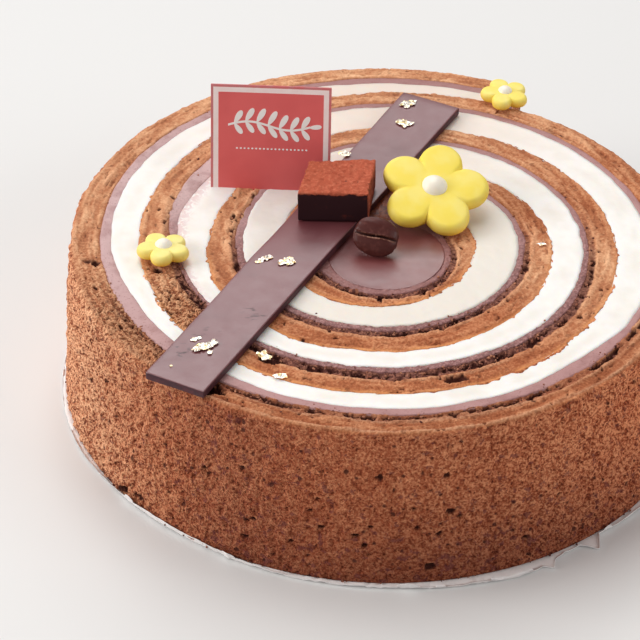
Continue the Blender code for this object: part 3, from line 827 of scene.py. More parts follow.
def spongeFinish():
    look = spongeLook
    f = Finish("sponge crumb", look["wallMiddle"], 0.92, Specular_IOR_Level=0.12)
    top, pale, coarse, low = (f.attribute(name) for name in ("top", "pale", "coarse", "low"))
    notTop = f.sum(1.0, top, "SUBTRACT")
    warped = f.warped(0.9 * mm, 0.6 * mm)
    fine = f.noise(0.55 * mm, 1, 0.5)
    grainy = f.noise(1.15 * mm, 2, 0.6, vector=warped)
    patch = f.noise(4.2 * mm, 3, 0.55)
    broad = f.noise(17 * mm, 2)
    pores = f.pores(0.80 * mm, warped, 0.20)
    openPores = f.pores(2.1 * mm, warped, 0.62)
    # the crumb's height, about 0.46 in the middle, which gives both its colour and its bump; its colour
    # ramps paint shade into the low pores and highlight onto the high crumbs
    height = f.sum(f.times(grainy, 0.45), f.times(fine, 0.55))
    height = f.sum(height, f.times(pores, f.sum(0.15, f.times(top, -0.09))), "SUBTRACT")
    height = f.sum(height, f.times(f.attribute("pore"), 0.08), "SUBTRACT")
    gain = f.sum(f.times(coarse, 1.35), f.sum(1.32, f.times(top, -0.30)))
    gain = f.times(gain, f.sum(1.0, f.times(f.times(pale, top), -0.45)))
    lift = f.sum(0.46, f.times(f.times(coarse, notTop), 0.05))
    height = f.sum(f.times(f.sum(height, -0.46), gain), lift)
    wall = f.ramped(height, (0.12, look["wallPoreShade"]), (0.42, look["wallMiddle"]), (0.76, look["wallCrumbHighlight"]))
    # on the top the ramp also follows the knife ridges: painted shade in their furrows, painted highlight on
    # their crests
    lanes = f.sum(height, f.times(f.sum(f.attribute("lane"), -0.5), 0.42))
    crust = f.ramped(lanes, (0.16, look["topPoreShade"]), (0.43, look["topMiddle"]), (0.72, look["topCrumbHighlight"]))
    base = f.mix(wall, crust, top)
    base = f.tinted(base, look["paleTint"], f.between(pale, 0.25, 1.0))
    redder = f.sum(f.times(patch, 0.6), f.times(broad, 0.4))
    base = f.tinted(base, look["redTint"], f.between(redder, 0.44, 0.62, 0.0, 0.7))
    base = f.mix(base, look["crustEdge"], f.times(f.attribute("crust"), 0.70))
    # painted highlight along the wavy ridges, strongest on the front
    onRidge = f.times(f.attribute("ridge"), f.between(fine, 0.35, 0.60, 0.45, 0.90))
    base = f.mix(base, look["ridge"], onRidge)
    # painted light on the wall's right and left sides
    base = f.tinted(base, look["sideLightTint"], f.attribute("sideLight"))
    # painted shade from the low attribute
    base = f.tinted(base, look["shade"], low)
    # dark patches, a few more of them where the painted shade lies
    stained = f.sum(f.noise(2.0 * mm, 3, 0.6), f.times(low, 0.06))
    base = f.mix(base, look["stain"], f.times(f.between(stained, 0.59, 0.69, 0.0, 0.66), notTop))
    # the torn crumb beside the chocolate cream: dark in its own colour and in painted shade, which is
    # strongest on the front
    torn = f.ramped(f.sum(height, f.times(f.sum(patch, -0.5), 0.3)),
                    (0.24, look["tornDarkAndShade"]), (0.44, look["tornDarkAndShade"]), (0.66, look["tornLight"]))
    base = f.patched(base, torn, f.attribute("torn"), 0.10, 0.75, 0.92)
    # painted shade, nearly black, in the open pores and in the pits and hollows
    base = f.mix(base, look["hollowShade"], f.times(openPores, f.sum(0.85, f.times(top, -0.55))))
    base = f.patched(base, look["hollowShade"], f.attribute("pit"), 0.10, 0.90, 0.94)
    f.colour(base)
    rise = f.sum(height, f.times(openPores, 0.3), "SUBTRACT")
    f.bump(f.times(rise, f.sum(1.0, f.times(top, -0.15))), 0.75 * mm, 0.9)
    return f.material


sponge = spongeFinish()
outerTurn = (("spongeOuterBack", 0.0, 0.35), ("spongeOuterFront", 0.35, 1.0))
spongePart(outerTurn, spongeLook["outerTurn"], True, sponge)
innerTurns = (("spongeInnerTurns", 1.0, roll["turns"]),)
spongePart(innerTurns, spongeLook["innerTurns"], False, sponge)
print("sponge done")


creamLook = {
    "step": 0.45 * mm,
    "whiteDrop": 0.04 * mm,  # how far the creams lie below the sponge's top
    "chocolateDrop": 0.12 * mm,
    "white": (0.940, 0.905, 0.870),
    "whiteShade": (0.80, 0.735, 0.655),
    "whiteBackShade": (0.79, 0.65, 0.56),
    "smear": (0.74, 0.54, 0.53),
    "chocolate": (0.455, 0.235, 0.225),
    "chocolateDeep": (0.30, 0.125, 0.115),
    "chocolateCrumb": (0.15, 0.055, 0.050),
    "crumb": (0.36, 0.110, 0.055),
    "rose": (0.66, 0.46, 0.46),
}


def creamRibbon(name, turns, outer, inner, drop, points, lumps, crumbly, material, slotName, node):
    # a closed ribbon: its top is softly rounded at both edges and carries the marks of the knife
    share = np.linspace(0, 1, points)
    width = (outer - inner)[:, None]
    radius = outer[:, None] - width * share
    edge = np.minimum(share * width, (1 - share) * width)
    z = cakeTop - drop - 0.12 * mm * np.exp(-edge / (0.22 * mm))
    flat = placeOnRoll(turns, radius, z)
    relief = softNoise(flat, 8 * mm, 21) * lumps + softNoise(flat, 2.6 * mm, 22) * lumps * 0.40
    along = turns[:, None] * 0.40 + 0 * radius
    streak = np.stack([along * 0.35, radius, 0 * radius], -1)
    relief = relief + softNoise(streak, 0.9 * mm, 23) * lumps * 0.30
    crumbly = crumbly.reshape(len(turns), -1) * np.ones(points)
    crumbs = 0.30 * (grainNoise(flat, 0.8 * mm, 24) - 0.35) + 0.14 * softNoise(flat, 0.5 * mm, 25)
    relief = relief - crumbly * crumbs
    z = z + relief * mm
    foot = np.full((len(turns), 1), cakeFoot)
    low = np.full((len(turns), 1), cakeTop - 2.5 * mm)
    radius = np.hstack([outer[:, None], outer[:, None], radius, inner[:, None], inner[:, None]])
    z = np.hstack([foot, low, z, low, foot])
    sides = ((0, 0), (2, 2))
    across = np.pad(np.tile(share, (len(turns), 1)), sides, "edge")
    degree = np.degrees(turnAngle(turns))[:, None] % 360
    values = {
        "across": across,
        "crumbly": np.pad(crumbly, sides, "edge"),
        "leftSide": bell(degree, 168, 52) + 0 * across,
        "backSide": bell(degree, 88, 38) + 0 * across,
        "turn": turns[:, None] + 0 * across,
    }
    mesh = turnOutward(tubeMesh(name, placeOnRoll(turns, radius, z), values))
    print(name, len(mesh.polygons), "faces")
    addPiece(name, mesh, material, slotName, node)


def whiteFinish():
    look = creamLook
    f = Finish("whipped cream", look["white"], 0.42, Specular_IOR_Level=0.3, Subsurface_Weight=0.25)
    f.milky((1.0, 0.6, 0.35), 2.2 * mm)
    turn, across = f.attribute("turn"), f.attribute("across")
    # painted shade in soft patches, round the back and over the inner turns
    base = f.patched(look["white"], look["whiteShade"], f.noise(9 * mm, 2), 0.42, 0.75, 0.4)
    base = f.mix(base, look["whiteBackShade"], f.times(f.attribute("backSide"), 0.9))
    base = f.patched(base, look["whiteShade"], turn, 2.1, 2.6, 0.85)
    # painted shade runs round the middle of each band, like a soft trough
    uneven = f.between(f.noise(7 * mm, 2), 0.35, 0.65, 0.0, 0.45)
    base = f.mix(base, look["whiteShade"], f.times(f.band(across, 0.10, 0.5, 0.5, 0.9), uneven))
    # on the left of the second turn the chocolate cream has been drawn into the white in pale streaks
    second = f.band(turn, 1.14, 1.24, 1.36, 1.46)
    nearChocolate = f.between(across, 0.0, 0.50, 1.0, 0.0)
    streaks = f.between(f.sum(f.noise(1.6 * mm, 3, 0.6, 1.0), f.times(nearChocolate, 0.22)), 0.50, 0.72)
    base = f.mix(base, look["smear"], f.times(f.times(second, nearChocolate), f.times(streaks, 0.9)))
    torn = f.ramped(f.noise(1.2 * mm, 3, 0.6), (0.36, look["chocolateCrumb"]), (0.58, look["crumb"]))
    f.colour(f.patched(base, torn, f.attribute("crumbly"), 0.3, 0.7))
    f.bump(f.noise(1.3 * mm, 3, 0.5), 0.10 * mm, 0.45)
    return f.material


def chocolateFinish():
    look = creamLook
    deep = look["chocolateDeep"]
    f = Finish("chocolate cream", look["chocolate"], 0.45, Specular_IOR_Level=0.35)
    turn = f.attribute("turn")
    base = f.mix(look["chocolate"], look["rose"], f.times(f.attribute("leftSide"), 0.75))
    base = f.mix(base, look["smear"], f.times(f.band(turn, 1.14, 1.22, 1.34, 1.44), 0.5))
    base = f.patched(base, deep, f.noise(4 * mm, 3), 0.45, 0.7, 0.45)
    # painted shade round the back
    base = f.mix(base, deep, f.times(f.attribute("backSide"), 0.6))
    base = f.patched(base, deep, f.noise(0.6 * mm, 2), 0.60, 0.70, 0.55)
    crumb = f.noise(0.7 * mm, 4, 0.65)
    mixed = f.ramped(crumb, (0.36, look["chocolateCrumb"]), (0.54, deep), (0.66, look["chocolate"]))
    base = f.patched(base, mixed, f.attribute("crumbly"), 0.08, 0.70, 0.92)
    f.colour(f.patched(base, deep, turn, 3.30, 3.45, 0.6))
    f.bump(f.noise(0.6 * mm, 3, 0.6), 0.20 * mm, 0.7)
    return f.material


def makeCreams():
    # the creams reach a little past each other and past the sponge, so that no gap shows
    look = creamLook
    radius = roll["radius"]
    turns = stationsAlong(0.0, roll["whiteTurns"], look["step"])
    outer = creamBorder(turns) + 0.03 * mm
    inside = turns + 1 <= roll["turns"]
    far = np.where(inside, rimEdge(turns + 1) - 0.35 * mm, radius * whiteInner(turns) + 0.15 * mm)
    # crumb from the sponge's inner end lies in the last wedge, between the strip and the large flower
    wedge = ramp(turns, 2.98, 3.02) * (1 - ramp(turns, 3.13, 3.17))
    creamRibbon("whiteCream", turns, outer, far, look["whiteDrop"], 16, 0.12,
                wedge, whiteFinish(), "white_cream", "white_cream")
    turns = stationsAlong(0.0, roll["turns"], look["step"])
    edge = innerEdge(turns) + 0.30 * mm
    core = radius * circleFace(roll["coreCentre"], roll["coreRadius"], turnAngle(turns)) + 0.15 * mm
    border = np.where(turns > roll["whiteTurns"], core, creamBorder(turns) - 0.10 * mm)
    crumbly = ramp(turns, 0.93, 1.06) * np.clip(frontness(turns) ** 1.2 * 1.1, 0.15, 1)
    creamRibbon("chocolateCream", turns, edge, border, look["chocolateDrop"], 9, 0.09,
                crumbly, chocolateFinish(), "chocolate_cream", "chocolate_cream")


makeCreams()
print("creams done")


ganacheLook = {
    "drop": 0.22 * mm,  # how far it lies below the sponge's top
    "colour": (0.205, 0.050, 0.049),
    "deep": (0.145, 0.033, 0.033),
}


def makeGanache():
    look = ganacheLook
    radius = roll["radius"] * roll["coreRadius"] + 0.3 * mm
    cx, cy = (c * roll["radius"] for c in roll["coreCentre"])
    # rings from the middle out, closer together at the rim
    rings = np.concatenate([[0.0006], np.linspace(0.06, 0.9, 14), [0.94, 0.965, 0.985, 1.0]]) * radius
    angles = np.linspace(0, 2 * pi, 121)[:-1]
    x = cx + rings[None, :] * np.cos(angles)[:, None]
    y = cy + rings[None, :] * np.sin(angles)[:, None]
    z = np.full(x.shape, cakeTop - look["drop"])
    points = np.stack([x, y, z], -1)
    z = z + softNoise(points, 7 * mm, 31) * 0.06 * mm
    fromRim = radius - rings
    z = z + 0.10 * mm * np.exp(-fromRim / (0.8 * mm)) - 0.02 * mm * np.exp(-fromRim / (0.12 * mm))
    spread = np.stack([x, y, z], -1)
    low = spread[:, -1:, :].copy()
    low[..., 2] = cakeTop - 3 * mm
    foot = low.copy()
    foot[..., :2] *= roll["spread"]
    foot[..., 2] = cakeFoot
    centre = foot.copy()
    centre[..., 0], centre[..., 1] = cx * roll["spread"], cy * roll["spread"]
    centre += (spread[:, :1, :] - [cx, cy, 0]) * (1, 1, 0)
    grid = np.concatenate([spread, low, foot, centre], 1)
    mesh = tubeMesh("ganacheCore", grid, closed=True)
    work = bmesh.new()
    work.from_mesh(mesh)
    bmesh.ops.remove_doubles(work, verts=work.verts, dist=0.08 * mm)
    bmesh.ops.recalc_face_normals(work, faces=work.faces)
    work.to_mesh(mesh)
    work.free()
    mesh.shade_smooth()
    f = Finish("ganache", look["colour"], 0.34, Specular_IOR_Level=1.0, Coat_Weight=0.36, Coat_Roughness=0.4)
    f.colour(f.patched(look["colour"], look["deep"], f.noise(5 * mm, 3), 0.42, 0.75, 0.5))
    f.rough(f.between(f.noise(2.2 * mm, 3), 0.3, 0.7, 0.33, 0.42))
    f.bump(f.noise(1.6 * mm, 2), 0.05 * mm, 0.5)
    addPiece("ganacheCore", mesh, f.material, "ganache", "ganache_core")


makeGanache()
print("ganache done")


stripLook = {
    "near": (-45.6 * mm, -60.5 * mm),  # the middles of its two ends
    "far": (12.6 * mm, 56.9 * mm),
    "nearWidth": 15.3 * mm,
    "farWidth": 16.1 * mm,
    "longest": 1.6 * mm,  # edge of the mesh
    "rounding": 0.40 * mm,
    # the top is coloured lighter and redder than the sides, painted sheen
    "colour": (0.172, 0.041, 0.048),
    "deep": (0.122, 0.026, 0.032),
    "bloom": (0.28, 0.11, 0.115),
    "side": (0.060, 0.020, 0.027),
    "scuffs": ((-39.3, -43.2), (-28.9, -34.6), (-43.9, -49.3)),  # millimetres
}
squareLook = {
    "corners": ((-20.2, 1.8), (-2.9, 1.8), (-1.2, 17.1), (-17.9, 15.7)),  # millimetres
    "longest": 0.42 * mm,
    "rounding": 0.55 * mm,
    "cocoa": (0.475, 0.108, 0.058),
    "cocoaLight": (0.62, 0.180, 0.102),
    "cocoaDeep": (0.33, 0.062, 0.032),
    "dark": (0.036, 0.013, 0.016),
}


def slabMesh(name, corners, bottom, top, longest, rounding, displace):
    # a four-cornered slab with rounded edges, cut until no edge is over longest, its surface then
    # moved outwards by displace
    work = bmesh.new()
    low = [work.verts.new((x, y, bottom)) for x, y in corners]
    high = [work.verts.new((x, y, top)) for x, y in corners]
    work.faces.new(low[::-1])
    work.faces.new(high)
    for k in range(4):
        work.faces.new((low[k], low[(k + 1) % 4], high[(k + 1) % 4], high[k]))
    bmesh.ops.recalc_face_normals(work, faces=work.faces)
    bmesh.ops.bevel(work, geom=work.edges, offset=rounding, segments=3, profile=0.5, affect="EDGES")
    for _ in range(6):
        long = [edge for edge in work.edges if edge.calc_length() > longest]
        if not long:
            break
        bmesh.ops.subdivide_edges(work, edges=long, cuts=1, use_grid_fill=True)
    bmesh.ops.triangulate(work, faces=[face for face in work.faces if len(face.verts) > 4])
    work.normal_update()
    mesh = bpy.data.meshes.new(name)
    work.to_mesh(mesh)
    work.free()
    points = getPoints(mesh)
    outward = np.zeros(points.size)
    mesh.vertex_normals.foreach_get("vector", outward)
    setPoints(mesh, points + displace(points)[:, None] * outward.reshape(-1, 3))
    mesh.update()
    mesh.shade_smooth()
    return mesh


def stripFinish():
    look = stripLook
    f = Finish("chocolate strip", look["colour"], 0.36, Specular_IOR_Level=1.0, Coat_Weight=0.36,
               Coat_Roughness=0.42)
    scuff = f.between(f.noise(3.2 * mm, 5, 0.7, 1.2), 0.60, 0.74)
    base = f.patched(look["colour"], look["deep"], f.noise(11 * mm, 3), 0.45, 0.75, 0.6)
    base = f.mix(base, look["bloom"], f.times(scuff, 0.35))
    # small dark ticks where something has rubbed, near the flakes
    marks = f.between(f.noise(0.9 * mm, 2, vector=f.stretched(0.35, 1.5, 1)), 0.58, 0.64)
    rubbed = None
    for x, y in look["scuffs"]:
        away = f.tree.nodes.new("ShaderNodeVectorMath")
        away.operation = "DISTANCE"
        f.tree.links.new(f.place, away.inputs[0])
        away.inputs[1].default_value = (x * mm, y * mm, stripTop)
        spot = f.between(away.outputs["Value"], 1.6 * mm, 4.2 * mm, 1.0, 0.0)
        rubbed = spot if rubbed is None else f.sum(rubbed, spot, "MAXIMUM")
    marks = f.times(marks, rubbed)
    f.colour(f.mix(base, look["side"], f.times(marks, 0.9)))
    rough = f.between(f.noise(4.5 * mm, 4, 0.6), 0.3, 0.7, 0.34, 0.44)
    f.rough(f.sum(rough, f.sum(f.times(scuff, 0.08), f.times(marks, 0.2))))
    f.bump(f.sum(f.noise(1.0 * mm, 3), marks, "SUBTRACT"), 0.05 * mm, 0.4)
    return f.material


def stripSideFinish():
    look = stripLook
    f = Finish("chocolate strip side", look["side"], 0.55, Specular_IOR_Level=0.30)
    f.colour(f.patched(look["side"], look["deep"], f.noise(1.8 * mm, 3), 0.45, 0.7, 0.7))
    f.bump(f.noise(0.8 * mm, 3), 0.15 * mm, 0.6)
    return f.material


def makeStrip():
    look = stripLook
    near, far = Vector(look["near"]), Vector(look["far"])
    across = (far - near).normalized().orthogonal()
    a, b = across * look["nearWidth"] / 2, across * look["farWidth"] / 2
    corners = (near + a, near - a, far - b, far + b)
    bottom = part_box("chocolate_strip")[0].z - 0.25 * mm

    def wave(points):
        swell = softNoise(points, 14 * mm, 41) * 0.14 + softNoise(points, 2.2 * mm, 42) * 0.035
        return swell * mm - 0.1 * mm

    mesh = slabMesh("chocolateStrip", corners, bottom, stripTop, look["longest"], look["rounding"], wave)
    addPiece("chocolateStrip", mesh, stripFinish(), "chocolate_strip", "chocolate_strip")
    # one chocolate in two colours: the top's lighter, redder one is painted sheen, the sides keep the dark
    # one
    mesh.materials.append(stripSideFinish())
    for face in mesh.polygons:
        face.material_index = 1 if face.normal.z < 0.55 else 0


def squareFinish(top):
    # powder lies on the top and on the right side, not on the cut front
    look = squareLook
    f = Finish("cocoa square", look["cocoa"], 0.95, Specular_IOR_Level=0.12)
    fine = f.noise(0.8 * mm, 4, 0.65)
    cocoa = f.patched(look["cocoa"], look["cocoaLight"], fine, 0.45, 0.72)
    cocoa = f.patched(cocoa, look["cocoaDeep"], f.noise(1.4 * mm, 3, 0.6), 0.50, 0.72, 0.75)
    side = f.patched(look["dark"], look["cocoaDeep"], f.noise(2.4 * mm, 4, 0.6), 0.62, 0.80, 0.22)
    split = f.tree.nodes.new("ShaderNodeSeparateXYZ")
    f.tree.links.new(f.place, split.inputs[0])
    height = f.sum(split.outputs["Z"], f.times(f.sum(f.noise(1.8 * mm, 3), -0.5), 1.8 * mm))
    dusted = f.between(height, top - 0.95 * mm, top - 0.55 * mm)
    onRight = f.times(f.attribute("rightSide"), f.between(f.noise(1.6 * mm, 3), 0.30, 0.62, 0.30, 0.85))
    dusted = f.sum(dusted, onRight, "MAXIMUM")
    f.colour(f.mix(side, cocoa, dusted))
    f.rough(f.sum(0.50, f.times(dusted, 0.45)))
    f.bump(f.times(fine, f.sum(f.times(dusted, 0.9), 0.1)), 0.35 * mm, 0.8)
    return f.material


def makeSquare():
    look = squareLook
    corners = [(x * mm, y * mm) for x, y in look["corners"]]
    bottom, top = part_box("cocoa_square")[0].z - 0.2 * mm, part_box("cocoa_square")[1].z

    def powder(points):
        upper = ramp(points[:, 2], top - 1.6 * mm, top - 0.4 * mm)
        dust = 0.20 * softNoise(points, 1.3 * mm, 51) + 0.16 * softNoise(points, 0.7 * mm, 52)
        dust = dust - 0.18 * (grainNoise(points, 1.0 * mm, 53) - 0.5)
        return (softNoise(points, 6 * mm, 54) * 0.18 + upper * dust - 0.15) * mm

    mesh = slabMesh("cocoaSquare", corners, bottom, top, look["longest"], look["rounding"], powder)
    addAttributes(mesh, {"rightSide": [ramp(vertex.normal.x, 0.45, 0.8) for vertex in mesh.vertices]})
    addPiece("cocoaSquare", mesh, squareFinish(top), "cocoa", "cocoa_square")


makeStrip()
makeSquare()
print("strip and square done")


beanLook = {
    "size": (11.0 * mm, 9.4 * mm, 5.6 * mm),
    "place": (-1.0 * mm, -6.4 * mm, 4.3 * mm),  # above the cake's top
    "lean": radians(50),
    "roll": radians(-17),
    "flatness": 0.62,  # of the side with the crease
    "groove": 0.40,
    "squareness": 0.84,  # below 1 the outline is fuller at its corners than an oval
    "colour": (0.080, 0.018, 0.015),
    "light": (0.17, 0.050, 0.040),
    "crease": (0.50, 0.250, 0.170),
    "slitShade": (0.02, 0.006, 0.005),
}


def beanFinish():
    look = beanLook
    f = Finish("roast bean", look["colour"], 0.36, Specular_IOR_Level=0.26)
    mottle = f.noise(1.6 * mm, 4, 0.6)
    base = f.patched(look["colour"], look["light"], mottle, 0.48, 0.75, 0.55)
    pale = f.times(f.attribute("crease"), f.between(f.noise(0.7 * mm, 3), 0.40, 0.62, 0.15, 0.9))
    base = f.mix(base, look["crease"], pale)
    # painted shade, nearly black, in the crease's slit
    f.colour(f.mix(base, look["slitShade"], f.times(f.attribute("slitShade"), 0.9)))
    f.rough(f.between(mottle, 0.3, 0.7, 0.32, 0.5))
    f.bump(f.noise(0.5 * mm, 3), 0.06 * mm, 0.5)
    return f.material


def makeBean():
    # a ball of radius 1 made squarer, flattened on top and creased, then brought to size
    look = beanLook
    bpy.ops.mesh.primitive_uv_sphere_add(segments=96, ring_count=64, radius=1)
    mesh = takeMesh("coffeeBean")
    x, y, z = getPoints(mesh).T
    full = look["squareness"]
    x, y = np.sign(x) * np.abs(x) ** full, np.sign(y) * np.abs(y) ** full
    offLine = y - 0.085 * np.sin(x * 2.6)  # from the crease, which is bent like an S
    upper = z > 0
    inCrease = bell(offLine, 0, 0.055) * upper * np.clip(1.15 - x**4, 0, 1)
    lips = bell(np.abs(offLine), 0.095, 0.040) * upper * np.clip(1 - x**2, 0, 1)
    flat = np.where(upper, z * look["flatness"], z)
    flat = flat - look["groove"] * inCrease + 0.06 * lips
    unit = np.stack([x, y, flat], -1)
    wrinkle = softNoise(unit * np.array([1, 2.2, 1]), 0.28, 61) * 0.020 + softNoise(unit, 0.11, 62) * 0.010
    unit = unit * (1 + wrinkle[:, None]) * 0.985
    setPoints(mesh, unit * np.array(look["size"]) / 2)
    creaseLight = bell(offLine, -0.085, 0.035) + 0.45 * bell(offLine, 0.085, 0.03)
    addAttributes(mesh, {
        "crease": creaseLight * upper * np.clip(1.1 - x**2, 0, 1),
        "slitShade": bell(offLine, 0, 0.034) * upper,
    })
    mesh.shade_smooth()
    x, y, rise = look["place"]
    turn = Matrix.Rotation(look["lean"], 4, "X") @ Matrix.Rotation(look["roll"], 4, "Z")
    mesh.transform(Matrix.Translation((x, y, cakeTop + rise)) @ turn)
    addPiece("coffeeBean", mesh, beanFinish(), "roast_bean", "coffee_bean")


makeBean()
print("bean done")


# millimetres and degrees; place is how far right, back and above the cake's top, pearl its radius
flowerLook = {
    "large": {
        "radius": 13.5, "thickness": 4.2, "place": (12.9, 10.2, 6.4), "nod": 18.5, "lean": 3.5, "turn": 7.6,
        "pearl": 3.5, "light": 0.0,
    },
    "left": {
        "radius": 6.5, "thickness": 2.8, "place": (-51.6, -10.3, 2.3), "nod": -5, "lean": 2, "turn": 50,
        "pearl": 2.3, "light": 1.0,
    },
    "back": {
        "radius": 6.3, "thickness": 2.6, "place": (31.5, 60.2, 2.0), "nod": 0, "lean": 3, "turn": 40,
        "pearl": 2.0, "light": 0.4,
    },
}
petalLook = {
    "reach": 0.61,  # from the flower's middle to a petal's, and the petal's radius, in flower radii
    "round": 0.39,
    "rimRound": 0.36,  # of the thickness, how far the rounding of the edge reaches in
    "pearlRise": 0.45,
    "colour": (0.965, 0.760, 0.108),
    "light": (0.985, 0.87, 0.33),
    "amberShade": (0.93, 0.62, 0.06),
    "pearl": (0.955, 0.88, 0.76),
    "pearlWarm": (0.96, 0.88, 0.76),
}


def flowerMesh(name, shape):
    # one closed flower, thick and flat on top with a rounded edge, made of rings that run from the
    # middle of the top over the edge to the middle of the underside
    radius, thickness = shape["radius"] * mm, shape["thickness"] * mm
    petal, rounded = petalLook["reach"], petalLook["round"]
    angles = np.linspace(0, 2 * pi, 241)[:-1]
    fifth = 2 * pi / 5
    off = (angles + fifth / 2) % fifth - fifth / 2  # from the middle of the petal
    reach = petal * np.cos(off) + np.sqrt(rounded**2 - (petal * np.sin(off)) ** 2)
    notch = fifth / 2 - np.abs(off)
    reach = (reach + 0.045 * bell(notch, 0, 0.075))[:, None]
    edgeIn = petalLook["rimRound"] * thickness / radius
    inner = np.linspace(0.03, 1, 15)[:-1]
    bend = np.linspace(0, pi, 17)
    flatShare = 1 - edgeIn / reach
    rounding = 1 - edgeIn / reach * (1 - np.sin(bend))
    share = np.hstack([flatShare * inner, rounding, flatShare * inner[::-1]])
    rise = np.concatenate([np.ones(len(inner)), np.cos(bend), -np.ones(len(inner))])
    upper = np.clip(rise, 0, 1)
    x = radius * (reach * share) * np.cos(angles)[:, None]
    y = radius * (reach * share) * np.sin(angles)[:, None]
    crease = bell(notch[:, None] * share, 0, 0.055) * ramp(share, 0.62, 1.0) * upper
    puff = 0.035 * (bell(share, 0.60, 0.30) * np.cos(off * 2.0)[:, None] - bell(share, 1.0, 0.25)) * upper
    z = thickness / 2 * (rise + 2 * puff - 0.30 * crease)
    points = np.stack([x, y, z], -1)
    points[..., 2] += softNoise(points, radius * 0.35, 71) * thickness * 0.02
    under = np.clip(0.62 - 0.62 * rise, 0, 1)[None, :] + 0 * share
    mesh = tubeMesh(name, points, {"under": under}, closed=True)
    work = bmesh.new()
    work.from_mesh(mesh)
    for side in (1, -1):
        # the innermost ring closes to a point
        ring = [v for v in work.verts if hypot(v.co.x, v.co.y) < radius * 0.032 and v.co.z * side > 0]
        middle = sum((v.co for v in ring), Vector()) / len(ring)
        bmesh.ops.pointmerge(work, verts=ring, merge_co=middle)
    bmesh.ops.recalc_face_normals(work, faces=work.faces)
    work.to_mesh(mesh)
    work.free()
    mesh.shade_smooth()
    return mesh


def sugarFinish(name, light):
    # light makes it paler, from 0 to 1
    look = petalLook
    f = Finish("yellow sugar " + name, look["colour"], 0.5, Specular_IOR_Level=0.3, Subsurface_Weight=0.12)
    f.milky((1.0, 0.75, 0.12), 1.2 * mm)
    lightness = f.between(f.noise(5 * mm, 2), 0.35, 0.7, light * 0.6, 0.4 + light * 0.6)
    base = f.mix(look["colour"], look["light"], lightness)
    # painted shade: deeper amber on the lower half of the rim and on the underside
    f.colour(f.mix(base, look["amberShade"], f.times(f.attribute("under"), 0.9)))
    f.bump(f.noise(0.8 * mm, 3), 0.05 * mm, 0.4)
    return f.material


def pearlFinish():
    look = petalLook
    f = Finish("sugar pearl", look["pearl"], 0.42, Specular_IOR_Level=0.4, Subsurface_Weight=0.25,
               Coat_Weight=0.12, Coat_Roughness=0.15)
    f.milky((1.0, 0.8, 0.6), 1.0 * mm)
    f.colour(f.patched(look["pearl"], look["pearlWarm"], f.noise(1.5 * mm, 2), 0.4, 0.7))
    f.bump(f.noise(0.9 * mm, 2), 0.03 * mm, 0.4)
    return f.material


def makeFlowers():
    pearlSugar = pearlFinish()
    for name, shape in flowerLook.items():
        x, y, rise = shape["place"]
        place = Matrix.Translation((x * mm, y * mm, cakeTop + rise * mm))
        lean = Matrix.Rotation(radians(shape["lean"]), 4, "Y")
        place @= lean @ Matrix.Rotation(radians(shape["nod"]), 4, "X")
        place @= Matrix.Rotation(radians(shape["turn"]), 4, "Z")
        title = name.capitalize()
        mesh = flowerMesh("flower" + title, shape)
        mesh.transform(place)
        sugar = sugarFinish(name, shape["light"])
        addPiece("flower" + title, mesh, sugar, "yellow_sugar", "flower_" + name)
        bpy.ops.mesh.primitive_uv_sphere_add(segments=48, ring_count=32, radius=shape["pearl"] * mm)
        pearl = takeMesh("pearl" + title)
        points = getPoints(pearl)
        setPoints(pearl, points * (1 + 0.02 * softNoise(points, 2.5 * mm, 81))[:, None])
        pearl.transform(place @ Matrix.Translation((0, 0, petalLook["pearlRise"] * mm)))
        pearl.shade_smooth()
        addPiece("pearl" + title, pearl, pearlSugar, "pearl", "pearl_" + name)


makeFlowers()
print("flowers done")


cardLook = {
    "size": (29.5 * mm, 0.5 * mm, 30.0 * mm),
    "depth": 3.3 * mm,  # how deep it is stuck in
    "corner": (-42.1 * mm, 19.6 * mm),  # of its foot, on the left
    "turn": radians(-2),
    "lean": radians(14),
    "bow": 0.10 * mm,
    "edge": 0.6 * mm,  # a thin rim, then a pale band inside it
    "band": 1.25 * mm,
    "red": (0.79, 0.133, 0.131),
    "redDeep": (0.73, 0.113, 0.112),
    "rim": (0.62, 0.20, 0.21),
    "pale": (0.97, 0.82, 0.80),
    "paleDeep": (0.94, 0.74, 0.72),
    "ink": (0.95, 0.91, 0.89),
    "inkDeep": (0.93, 0.84, 0.82),
}
# a plain twig with paired leaves and a row of dots under it, in millimetres on the card's face
sprigLook = {
    "middle": (14.75, 16.4),
    "twig": (-10.5, 9.6, 0.55),  # from, to, width
    "sway": 1.0,
    "pairs": 7,
    "pairStep": 2.75,
    "upperLeaf": (60, 4.3, 1.75),  # degrees, length, width
    "lowerLeaf": (-54, 3.8, 1.60),
    "tipLeaf": (6, 3.2, 1.4),
    "dots": 19,
    "dotStep": 0.95,
    "dot": (0, 0.55, 0.5),
}


def cardPlace():
    look = cardLook
    place = Matrix.Translation((*look["corner"], cakeTop))
    return place @ Matrix.Rotation(look["turn"], 4, "Z") @ Matrix.Rotation(-look["lean"], 4, "X")


def cardBow(co):
    # how far the card's face bows at a point of the flat card
    width, _, height = cardLook["size"]
    bow = cardLook["bow"] * (1 - ((co.x - width / 2) / (width / 2)) ** 2)
    return bow * max(0.0, min(1.0, co.z / (height * 0.4)))


def leafOutline(x, z, degrees, length, width):
    points, angle = [], radians(degrees)
    for k in range(24):
        t = 2 * pi * k / 24
        along = (1 - cos(t)) / 2 * length
        side = sin(t) * width / 2 * sin(min(t, 2 * pi - t) / 2) ** 0.6
        px = x + along * cos(angle) - side * sin(angle)
        points.append((px, z + along * sin(angle) + side * cos(angle)))
    return points


